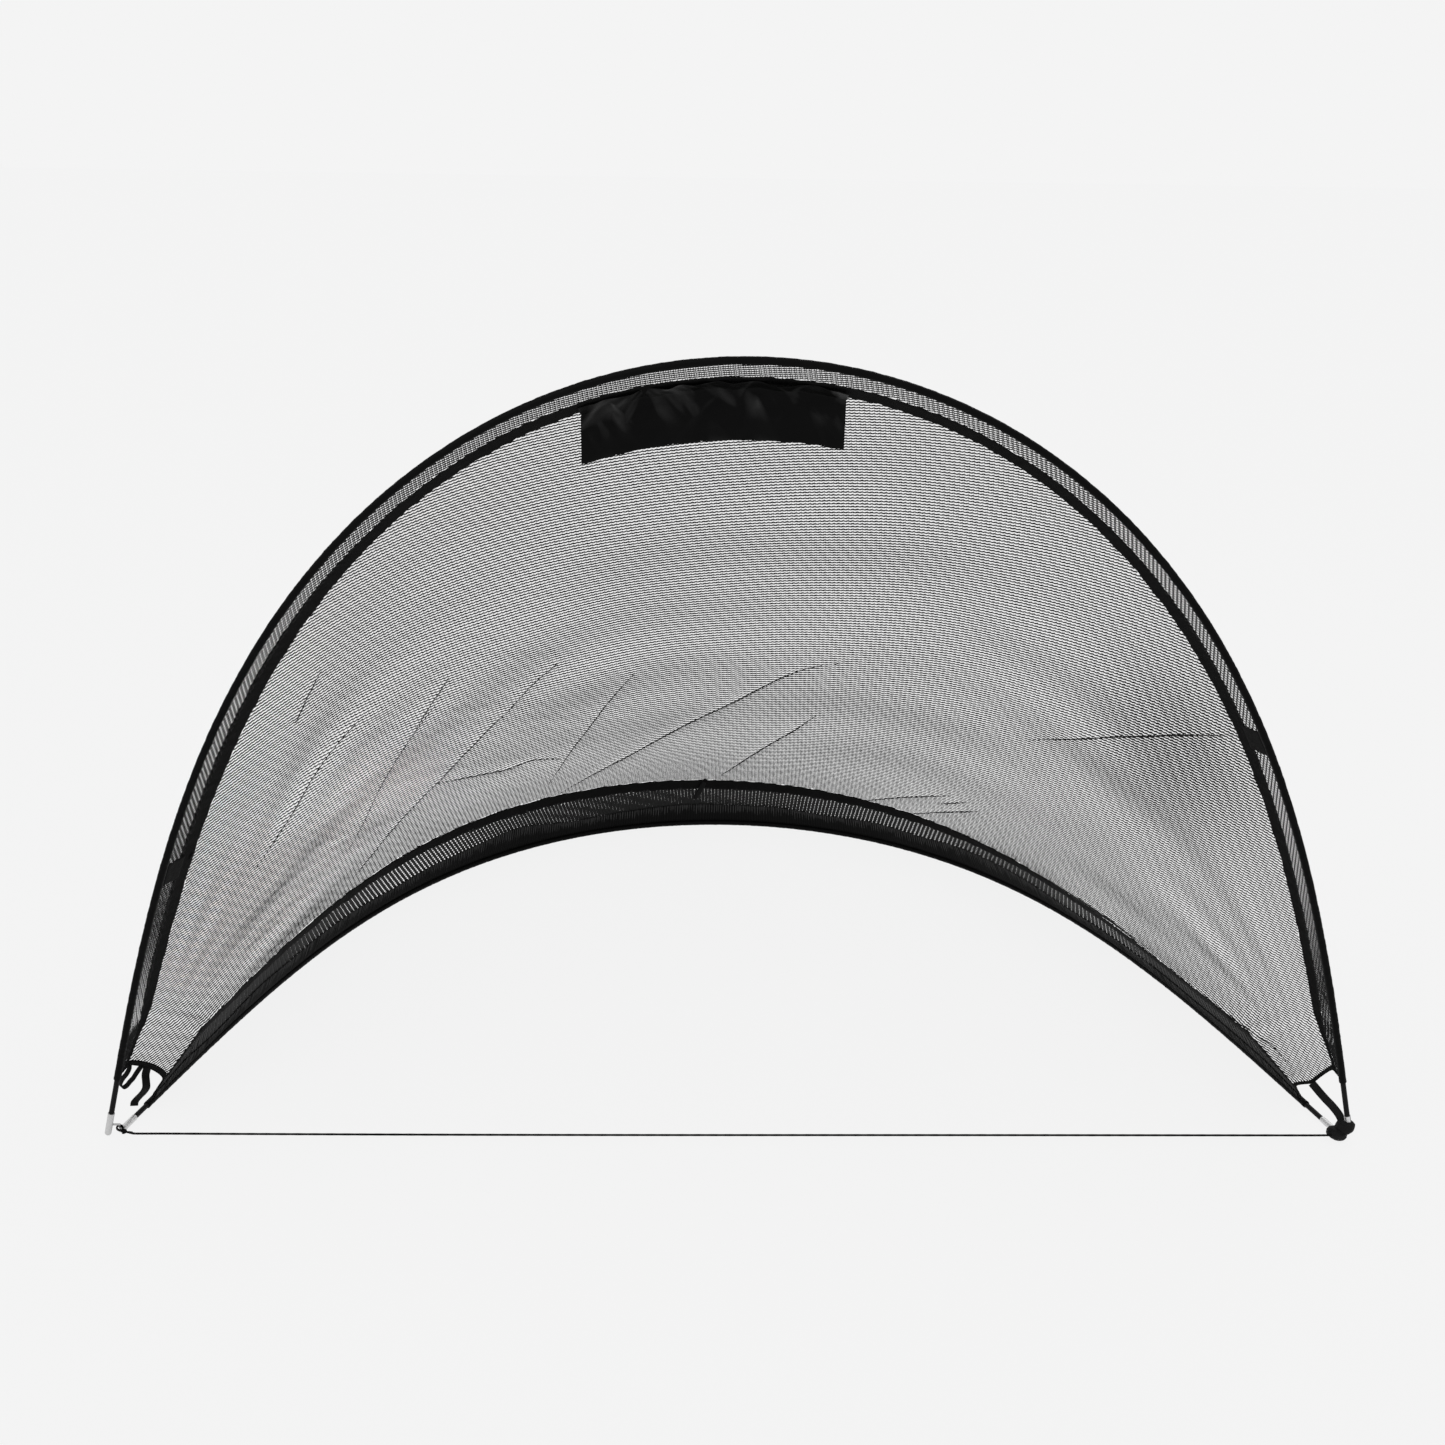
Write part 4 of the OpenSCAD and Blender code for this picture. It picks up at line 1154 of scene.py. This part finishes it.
def strip_raster(which, lo, hi, step=3.0):
    u, p, n = edge_plan(which)
    far = NET_A if which == 0 else NET_B
    w = np.linspace(lo, hi, 7)
    flat = p[:, None] + (far - w)[None, :, None] * corner_share(u)[:, None, None] * n[:, None]
    fn = border_pt if which == 0 else band_pt

    def place(i, j):
        uu = frac(np.repeat(u[:, None], 7, 1), i, j)
        ww = frac(np.repeat(w[None], len(u), 0), i, j)
        e = 2e-4
        q = fn(uu, ww)
        nn = unit(np.cross(fn(uu + e, ww) - q, fn(uu, ww + 0.5) - q))
        if which == 1:
            nn = -nn
        share = corner_share(uu)
        inside = np.minimum(ww - lo, hi - ww) * share
        ends = (np.minimum(uu, 1 - uu) - U_CLOTH) * FRONT_LEN
        return q, np.concatenate([nn, inside[..., None], ends[..., None]], -1)

    return raster(flat, place, step)


def apex_thin(p, q):
    return 0.80 + 0.02 * smooth(np.abs(np.nan_to_num(p)) / 900)


def side_full(p, q):
    return 0.99 + 0.06 * smooth(np.abs(np.nan_to_num(p)) / 430)


BORDER_HI = BORDER_W - TAPE_W + 2.5
BORDER = strip_raster(0, 4.5, BORDER_HI)
border_objects = []
for i, (sh, off) in enumerate((((0.0, 0.0), 0.55), ((3.5, 4.5), -0.55))):
    parts = knit(BORDER, 0.5, 2.0, shift=sh, off=off, row_w=3.0, col_w=1.1, scale=apex_thin)[0]
    o = build(f"front_border_{i + 1}", parts, M_BORDER)
    folds(o, *(["front_border"] if i == 0 else []), slot="border")
    border_objects.append(o)

BAND = strip_raster(1, 24.0, BAND_W - BAND_TAPE_W + 7)
band_objects = []
for i, (sh, tn, off) in enumerate((((0.0, 0.0), 0.0, 0.2), ((3.0, 4.3), 0.004, 0.0), ((6.1, 2.2), -0.004, -0.2))):
    parts = knit(BAND, 0.5, 2.0, shift=sh, turn=tn, off=off, row_w=1.1, col_w=4.25, scale=side_full)[0]
    o = build(f"ground_band_{i + 1}", parts, M_BAND)
    folds(o, *(["ground_band"] if i == 0 else []), slot="band")
    band_objects.append(o)

# --------------------------------------------------------------- cloth tapes
US = np.linspace(U_CLOTH, 1 - U_CLOTH, 1100)
S_FRONT = US * FRONT_LEN


def tape_grid(fn, lo, hi, m, seed, wavy, wider=0.0):
    """Grid of a sewn tape with slightly wandering edges and small puckers along its length."""
    w0, w1 = wavy * wobble(S_FRONT, seed, 120), wavy * wobble(S_FRONT, seed + 1, 90)
    a = np.linspace(0, 1, m)
    w0 = w0 - wider
    pts = np.stack([fn(US, (lo + w0) * (1 - x) + (hi + w1) * x) for x in a], 1)
    n = grid_normals(pts)
    puck = 0.55 * wobble2(S_FRONT[:, None] + 0 * a, a[None] * 24 + 0 * S_FRONT[:, None], seed + 2, 26, 2, (1, 1.4))
    arch = 0.5 * (1 - (2 * a - 1) ** 2)[None]
    return pts + n * (puck + arch * 0.5)[..., None]


WIDER = 9 * smooth((US - 0.03) / 0.05) * smooth((0.34 - US) / 0.1) + 4 * smooth((US - 0.68) / 0.06) * smooth((0.97 - US) / 0.05)
g = tape_grid(border_pt, BORDER_W - TAPE_W, BORDER_W, 9, 31, 1.5, WIDER)
v, q, lay = slab(g, 1.5)
front_tape = folds(mesh_object("front_tape_cloth", v, q, M_TAPE, lay), "front_tape", slot="tape")

g = tape_grid(band_pt, BAND_W - BAND_TAPE_W, BAND_W, 9, 41, 0.9)
v, q, lay = slab(g, 1.5)
band_tape = folds(mesh_object("band_tape_cloth", v, q, M_BAND_TAPE, lay), "band_tape", slot="tape")

# ------------------------------------------------- hem: gathered, two layers
a = np.linspace(0, 1, 13)
top_edge = HEM_W + 16 + 7 * wobble(S_FRONT, 51, 420, 2) + 12 * smooth((US - 0.55) / 0.1) * smooth((0.80 - US) / 0.1)
g = np.stack([band_pt(US, (SR - 0.9) * (1 - x) + top_edge * x) for x in a], 1)
n = grid_normals(g)
pleat = np.sin(2 * np.pi * S_FRONT / 7.3 + 2.2 * wobble(S_FRONT, 53, 60))[:, None] * (0.35 + 0.5 * a)[None]
roll = 1.4 * np.sin(np.pi * a)[None] * (0.7 + 0.5 * wobble(S_FRONT, 54, 300))[:, None]
g = g + n * ((1.9 + 0.7 * pleat + roll) * smooth(a / 0.28)[None])[..., None]
v, q, lay = slab(g, 1.1)
hem = folds(mesh_object("ground_hem_cloth", v, q, M_HEM, lay), "ground_hem", slot="hem")


# ------------------------------------------------------------------ sleeves
def sleeve(name, pt_fn, in_fn, u0, u1, seed, body, node):
    n = 1500
    u = np.linspace(u0, u1, n)
    s = u * FRONT_LEN
    c = pt_fn(u)
    t = unit(np.gradient(c, axis=0))
    inn = in_fn(u)
    b = np.cross(inn, t)
    k = 20
    th = np.arange(k) * 2 * np.pi / k
    rip = 0.22 * wobble2(s[:, None] + 6 * th[None] / np.pi, th[None] * 5.6 + 0 * s[:, None], seed, 15, 2, (1, 2.2))
    rip = rip + 0.12 * wobble(s, seed + 3, 7, 2)[:, None]
    ends = smooth(np.minimum(u - u0, u1 - u) * FRONT_LEN / 7)
    r = 5.32 + rip + (0.10 * (1 - ends))[:, None]
    seam = np.exp(-((np.angle(np.exp(1j * (th - 0.9)))) / 0.28) ** 2)[None] * 0.9     # sewn ridge towards the border
    r = r + seam * 0.35
    v = c[:, None] + r[..., None] * (np.cos(th)[None, :, None] * inn[:, None] + np.sin(th)[None, :, None] * b[:, None])
    ri = 4.32
    ring = v
    inner = c[[0, -1]][:, None] + ri * (np.cos(th)[None, :, None] * inn[[0, -1]][:, None] + np.sin(th)[None, :, None] * b[[0, -1]][:, None])
    deep = inner + np.stack([t[0] * 6, -t[-1] * 6])[:, None]
    allr = np.concatenate([deep[:1], inner[:1], ring, inner[1:], deep[1:]])
    q = ring_quads(len(allr), k)
    ss = np.concatenate([[s[0] + 6, s[0]], s, [s[-1], s[-1] - 6]])
    lay = np.stack([np.repeat(ss[:, None], k, 1), np.repeat((th * 5.6)[None], len(allr), 0), 0 * allr[..., 0]], -1)
    o = mesh_object(name, allr.reshape(-1, 3), q, M_SLEEVE, lay.reshape(-1, 3))
    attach(o, body)
    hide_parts(node)
    return o


sleeve("front_sleeve_cloth", front_pt, front_in, U_END, 1 - U_END, 61, "front_hoop", "front_sleeve")
sleeve("ground_sleeve_cloth", ground_pt, ground_in, U_END_G - X_LEFT, 1 - U_END_G + X_RIGHT, 71, "ground_hoop", "ground_sleeve")


# ----------------------------------------------------------- corner bindings
def end_pt(u, k):
    if k < 0.3:
        return border_pt(u, SR + GAP + (BORDER_W - SR - GAP) * k / 0.3)
    if k > 0.66:
        return band_pt(u, BAND_W - (BAND_W - SR - GAP) * (k - 0.66) / 0.34)
    return net_pt(u, (k - 0.3) / 0.36)


def binding(side, name, node):
    u0, u1 = U_END + 0.0003, U_CLOTH + 0.0006
    ks = np.linspace(0, 1, 97)
    rows = []
    for k in ks:
        back = float(end_bow(np.array(side < 0), np.array(k))) / FRONT_LEN
        rows.append([end_pt(np.array(u if side < 0 else 1 - u), k) for u in back + np.linspace(u0, u1, 6)])
    g = np.array(rows)
    for _ in range(10):
        g[1:-1] = (g[:-2] + 2 * g[1:-1] + g[2:]) / 4
    s = np.arange(97) * 2.2
    n = grid_normals(g)
    g = g + n * (0.25 * wobble(s, 81 + side, 22))[:, None, None]
    v, q, lay = slab(g, 2.6, edge=0.5)
    return folds(mesh_object(name, v, q, M_BIND, lay), node, slot="tape")


def on_binding(side, k, away=0.0):
    """A point on the end binding as near_corner numbers; away is mm towards the corner."""
    u = U_CLOTH + (float(end_bow(np.array(side < 0), np.array(k))) - 4 - away) / FRONT_LEN
    p = end_pt(np.array(u if side < 0 else 1 - u), k)
    return [HW - side * p[0], p[1] - HINGE_Y, p[2]]


bind_l = binding(-1, "corner_binding_left_tape", "corner_binding_left")
bind_r = binding(1, "corner_binding_right_tape", "corner_binding_right")


# ------------------------------------------------------------------- straps
def strap(name, node, side, route, across, w, th, mat, slot):
    r = catmull(np.array([near_corner(side, x) for x in route]), 10)
    a = unit(np.array(across, float))
    t = unit(np.gradient(r, axis=0))
    a = unit(a[None] - (t @ a)[:, None] * t)
    j = np.linspace(-1, 1, 7)
    n = len(r)
    wd = np.full(n, w / 2)
    g = r[:, None] + a[:, None] * (wd[:, None] * j[None])[..., None]
    v, q, lay = slab(g, th, edge=0.55)
    return folds(mesh_object(name, v, q, mat, lay), node, slot=slot)


strap_l = strap("corner_strap_left_web", "corner_strap_left", -1,
                [on_binding(-1, 0.31), [27, 30.5, 95], [23.8, 26.7, 89], [19.4, 23.7, 84], [15.5, 22.9, 77.4], [13.6, 25.3, 69.5], [15, 30.6, 63.5], [19.3, 34.6, 64.2],
                 [24, 37.6, 69.4], [28.6, 40, 74], [32.6, 43, 80], on_binding(-1, 0.42)], (0.75, -0.6, -0.35), 8, 1.2, M_WEB, "webbing")
tail_l = strap("corner_tail_left_web", "corner_tail_left", -1,
               [on_binding(-1, 0.47), [43, 53, 72], [45, 45.5, 65], [45.5, 41.5, 57], [38.5, 47, 45], [28.5, 54, 32.5], [21.5, 58, 23], [20, 57, 16.5]],
               (0.8, 0.5, -0.3), 12, 1.2, M_WEB, "webbing")
strap_r = strap("corner_strap_right_web", "corner_strap_right", 1,
                [on_binding(1, 0.52), [37.5, 53, 55.5], [31.5, 46, 49.5], [25, 36, 44], [18.5, 24.5, 39.5], [12.5, 13, 33.5], [9, 5, 27]], (0.76, 0.2, 0.61), 12.0, 1.4, M_WEB2, "webbing")


# ------------------------------------------------------------------ patches
def patch(name, node, uc, length, lo, hi, off, mat):
    u = uc + np.linspace(-0.5, 0.5, 25) * length / FRONT_LEN
    a = np.linspace(lo, hi, 13)
    g = np.stack([border_pt(u, x) for x in a], 1)
    n = grid_normals(g)
    x, y = np.meshgrid(np.linspace(0, length, 25), a, indexing="ij")
    g = g - n * (off + 0.35 * wobble2(x, y, 91, 18, 2))[..., None]
    v, q, lay = slab(g, 0.8, edge=0.5)
    o = mesh_object(name, v, q, mat, lay)
    return folds(o, node, slot="patch")


patch_l = patch("border_patch_left_cloth", "border_patch_left", 0.133, 36, 8, BORDER_W - TAPE_W + 1, 2.0, M_PATCH)
patch_r = patch("border_patch_right_cloth", "border_patch_right", 0.795, 40, 8, BORDER_W - TAPE_W + 1, 2.0, M_PATCH)

u = 0.136 + np.linspace(-1, 1, 9) * 5 / FRONT_LEN
w = np.interp(np.linspace(0, 2, 9), [0, 1, 2], [5, 4.2, 1.2])
g = np.stack([border_pt(u, BORDER_W - 9 + x * w) for x in np.linspace(-1, 1, 7)], 1)
g = g - grid_normals(g) * 2.2
v, q, lay = slab(g, 0.9)
tab_l = folds(mesh_object("patch_tab_left_cloth", v, q, M_PATCH, lay), "patch_tab_left", slot="patch")

# ------------------------------------------------------------------- banner
BU, BW, BH, UNDER = 0.484, 345.0, 78.0, 14.0
HANG = np.array([0, 0.1, -1]) / math.hypot(0.1, 1)
nx, ny = 150, 46
xs, ys = np.linspace(-0.5, 0.5, nx), np.linspace(0, 1, ny)
g = np.zeros((nx, ny, 3))
for j, yv in enumerate(ys):
    d = -UNDER + (BH + UNDER) * yv
    u = BU + xs * BW * 1.085 / FRONT_LEN
    g[:, j] = border_pt(u, BORDER_W - 8 + d) if d < 8 else border_pt(u, BORDER_W) + (d - 8) * HANG
for _ in range(3):
    g[:, 1:-1] = (g[:, :-2] + 2 * g[:, 1:-1] + g[:, 2:]) / 4
n = grid_normals(g)
X, Y = np.meshgrid(xs * BW, ys * (BH + UNDER) - UNDER, indexing="ij")
fold = 2.4 * wobble2(X, Y, 101, 62, 2, (1, 1.5), 0.5) * (0.35 + 0.65 * np.exp(-Y / 38))
fold += 2.0 * np.exp(-((X + 70 + 0.9 * Y) / 11) ** 2) * np.exp(-Y / 34) + 1.6 * np.exp(-((X - 95 - 0.8 * Y) / 12) ** 2) * np.exp(-Y / 40)
fold += 0.9 * np.exp(-(BH - Y) / 13) * wobble(X[:, 0], 103, 34)[:, None]
hem_edge = np.minimum(np.minimum(xs[:, None] * BW + BW / 2, BW / 2 - xs[:, None] * BW), BH - Y)
thick = 0.75 + 0.55 * smooth((9 - hem_edge) / 1.6)
pinch = 0.8 * wobble(X[:, 0], 104, 46)[:, None] * np.exp(-(BH - Y) / 8)
off_b = 3.4 + fold + 0.25 * (thick - 0.75)
along = unit(np.gradient(g, axis=1))
g = g - n * off_b[..., None] + along * pinch[..., None]
v, q, lay = slab(g, thick, edge=0.6)
banner = folds(mesh_object("banner_cloth", v, q, M_BANNER, lay), "banner", slot="banner")

# --------------------------------------------------------------- centre tie
u0 = 0.4905
base = band_pt(np.array(u0), BAND_W)
pdir = band_slant(np.array(u0)) * D2R
h0 = hd(GROUND, np.array(u0)) * D2R
zdir = math.cos(pdir) * ground_in(np.array(u0)) + math.sin(pdir) * EZ
xdir = np.array([math.cos(h0), math.sin(h0), 0])
inw = np.cross(xdir, zdir)
inw = inw / np.linalg.norm(inw)
tilt = 25 * D2R
down = -(math.cos(tilt) * zdir + math.sin(tilt) * xdir)
sidew = math.cos(tilt) * xdir - math.sin(tilt) * zdir
path = np.array([band_pt(np.array(u0 + (s_ - math.tan(tilt) * d) / FRONT_LEN), BAND_W - d) + inw * (2.9 + o) for d, o, s_ in
                 [(-0.5, 0.3, 0), (6, 1.0, 0), (12, 1.4, 0.3), (20, 2.2, 0.2), (28, 2.9, -0.4), (36, 3.4, -0.8), (43, 3.8, -0.4)]])
r = catmull(path, 8)
j = np.linspace(-1, 1, 7)
wid = np.interp(np.linspace(0, 1, len(r)), [0, 0.15, 0.3, 0.9, 1], [3.0, 4.2, 5.2, 4.8, 3.6])
g = r[:, None] + sidew[None, None] * (wid[:, None] * j[None])[..., None] + inw * (0.5 * np.cos(j * 3.1))[None, :, None]
v, q, lay = slab(g, 1.1, edge=0.5)
tie = folds(mesh_object("centre_tie_strip", v, q, M_WEB, lay), "centre_tie", slot="webbing")
kc = base - down * 1.2 + inw * 4.2
ang = np.linspace(0, 2 * np.pi * 2.0, 90)
knot = kc + np.stack([(3.7 + 0.9 * np.cos(1.5 * ang)) * np.cos(ang), (3.1 + 0.9 * np.cos(1.5 * ang)) * np.sin(ang), 1.1 * np.sin(1.5 * ang)], 1) @ np.stack([sidew, down, inw])
v, q, lay, tris = tube(knot, 1.25, 9)
tie_knot = folds(mesh_object("centre_tie_knot", v, q, M_CORD, lay, extra=tris), slot="webbing")

# -------------------------------------------------------------- ground cord
CY, CZ = HINGE_Y - 10, 11.0
LINK_X = -GW - 1.6
kring = np.array([LINK_X, HINGE_Y + 3, 12.3])
jn = np.array([LINK_X + 6.6, HINGE_Y - 0.5, 8.6])
e0 = np.array([LINK_X + 24, CY, CZ])
x_end = HW - 18.6
ctrl = [jn, jn + np.array([5.5, -3.2, 0.9]), jn + np.array([11.5, -6.8, 1.8]), e0 + np.array([0, 0.2, -0.1]), e0 + np.array([14, -0.1, -0.1])]
ctrl += [np.array([x, CY + 0.5 * math.sin(x / 240.0), CZ - 1.2 * (1 - (x / 900.0) ** 2)]) for x in np.linspace(LINK_X + 70, x_end - 40, 22)]
ctrl += [np.array([x_end - 12, CY, CZ]), np.array([x_end, CY, CZ])]
cpath = catmull(np.array(ctrl), 16)
s = np.concatenate([[0], np.cumsum(np.linalg.norm(np.diff(cpath, axis=0), axis=1))])
th = np.arange(10) * 2 * np.pi / 10
rad = 1.56 + 0.07 * np.sin(s[:, None] * 2 * np.pi / 6.4 + 2 * th[None])
v, q, lay, tris = tube(cpath, rad, 10)
cord = mesh_object("ground_cord_line", v, q, M_CORD, lay, extra=tris)
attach(cord, "ground_hoop")
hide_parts("ground_cord")
ang = np.linspace(0, 2 * np.pi * 2.5, 110)
tilt_m = np.array(Matrix.Rotation(math.radians(20), 3, "X")) @ np.array(Matrix.Rotation(math.radians(25), 3, "Y"))
loop = kring + np.stack([4.15 * np.cos(ang), 4.15 * np.sin(ang), 1.5 * (ang / ang[-1] - 0.5) * 2], 1) @ tilt_m.T
v1, q1, lay1, t1 = tube(loop, 1.35, 9)
ang = np.linspace(0, 2 * np.pi * 3, 150)
ball = jn + np.stack([(2.2 + 1.0 * np.cos(ang * 2 / 3)) * np.cos(ang), (2.2 + 1.0 * np.cos(ang * 2 / 3)) * np.sin(ang), 1.7 * np.sin(ang * 2 / 3)], 1)
v2, q2, lay2, t2 = tube(ball, 1.25, 9)
tail = catmull(np.array([jn + np.array(d) for d in ([2, -2, 0.6], [6, -4.2, 1.8], [10.5, -6.8, 3.2], [15, -9.2, 4.0])]), 8)
v3, q3, lay3, t3 = tube(tail, 1.3, 9)
knot = mesh_object("ground_cord_knot", np.concatenate([v1, v2, v3]), np.concatenate([q1, q2 + len(v1), q3 + len(v1) + len(v2)]), M_CORD,
                   np.concatenate([lay1, lay2, lay3]), extra=np.concatenate([t1, t2 + len(v1), t3 + len(v1) + len(v2)]))
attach(knot, "ground_hoop")

# --------------------------------------------------------------- rubber boot
def boot():
    """Moulded boot: a low foot and a cap over the pin, run together, with a rim and a flat sole."""
    me = bpy.data.meshes.new("boot_base")
    bm = bmesh.new()
    bmesh.ops.create_icosphere(bm, subdivisions=6, radius=1.0)
    bm.to_mesh(me)
    bm.free()
    d = np.zeros(len(me.vertices) * 3, np.float32)
    me.vertices.foreach_get("co", d)
    d = unit(d.reshape(-1, 3).astype(float))
    tri = np.zeros(len(me.polygons) * 3, np.int32)
    me.polygons.foreach_get("vertices", tri)
    bpy.data.meshes.remove(me)
    o = np.array([HW - 11, HINGE_Y, 15.0])
    reach = []
    for c, a, tip in (((17.0, -1.0, 9.0), (15.0, 15.0, 9.4), -14), ((5.5, 0.5, 19.0), (15.0, 13.5, 11.5), 22)):
        t = math.radians(tip)
        m = np.array([[math.cos(t), 0, math.sin(t)], [0, 1, 0], [-math.sin(t), 0, math.cos(t)]])
        c = np.array([HW - c[0], HINGE_Y + c[1], c[2]])
        e, f = (d @ m.T) / np.array(a), ((o - c) @ m.T) / np.array(a)
        qa, qb, qc = (e * e).sum(1), 2 * (e * f).sum(1), (f * f).sum() - 1
        reach.append((-qb + np.sqrt(np.maximum(qb * qb - 4 * qa * qc, 0))) / (2 * qa))
    r = np.maximum(reach[0], reach[1])
    low = np.minimum(reach[0], reach[1])
    r = r + 1.1 * np.exp(-((r - low) / 1.6) ** 2) - 1.0 * np.exp(-((r - low - 1.2) / 0.8) ** 2)
    p = o + d * r[:, None]
    z = p[:, 2]
    p = p + d * (0.7 * np.exp(-((z - 8.0) / 1.3) ** 2) + 0.45 * np.exp(-((z - 24.5) / 1.0) ** 2)
                 + 0.35 * wobble2(p[:, 0], p[:, 1] + z, 111, 16, 2))[:, None]
    sole = p[:, 2] < 0.4
    p[sole, 2] = 0.4 - 0.25 * np.tanh((0.4 - p[sole, 2]) / 4)
    ob = mesh_object("corner_boot_cover", p, np.zeros((0, 4), np.int32), M_BOOT, extra=tri.reshape(-1, 3))
    ob.data.polygons.foreach_set("use_smooth", np.ones(len(ob.data.polygons), bool))
    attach(ob, "ground_hoop")
    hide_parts("corner_boot_right")
    return ob


boot()

# -------------------------------------------------------- materials of nodes
for name, m in (("front_rod", M_ROD), ("ground_rod", M_ROD), ("front_ferrule_left", M_FERRULE), ("front_ferrule_right", M_SILVER),
                ("ground_ferrule_left", M_SILVER), ("ground_ferrule_right", M_SILVER), ("corner_link_left", M_WIRE),
                ("corner_pin_right", M_WIRE)):
    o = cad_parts[name]
    for s_ in o.material_slots:
        s_.material = m


# -------------------------------------------------------- floor and lighting
def floor_material():
    k = Nodes("floor")
    v = k.obj()
    k.colour(k.noise(v, 3, 3), [(0.3, 0.86), (0.7, 0.88)])
    k.rough(k.noise(v, 8, 2), 0.85, 0.95)
    k.set(spec=0.0)
    out = k.t.nodes["Material Output"]
    em = k.n("ShaderNodeEmission")
    em.inputs["Color"].default_value = (0.905, 0.905, 0.905, 1)
    em.inputs["Strength"].default_value = 1.0
    mix = k.n("ShaderNodeMixShader")
    mix.inputs["Fac"].default_value = 0.95
    k.link(k.b.outputs[0], mix.inputs[1])
    k.link(em.outputs[0], mix.inputs[2])
    k.link(mix.outputs[0], out.inputs["Surface"])
    return k.m


me = bpy.data.meshes.new("floor")
me.from_pydata([(-20, -20, 0), (20, -20, 0), (20, 20, 0), (-20, 20, 0)], [], [(0, 1, 2, 3)])
me.materials.append(floor_material())
floor = bpy.data.objects.new("floor", me)
floor.location = (0, 0, -0.0004)
bpy.context.scene.collection.objects.link(floor)

world = bpy.data.worlds.new("studio")
bpy.context.scene.world = world
world.use_nodes = True
bg = world.node_tree.nodes["Background"]
bg.inputs["Color"].default_value = (0.905, 0.905, 0.905, 1)
bg.inputs["Strength"].default_value = 1.0


def area(name, place, aim, size, power):
    data = bpy.data.lights.new(name, "AREA")
    data.shape, data.size, data.energy = "DISK", size, power
    o = bpy.data.objects.new(name, data)
    o.location = place
    o.rotation_euler = (Vector(aim) - Vector(place)).to_track_quat("-Z", "Y").to_euler()
    bpy.context.scene.collection.objects.link(o)
    return o


area("key", (-1.6, -2.6, 3.4), (0, -0.2, 0.5), 1.6, 22)
area("rim", (1.8, 1.6, 3.0), (0, -0.5, 0.9), 1.2, 12)

vs = bpy.context.scene.view_settings
vs.view_transform = "Standard"
vs.look = "None"
vs.exposure = 0
vs.gamma = 1
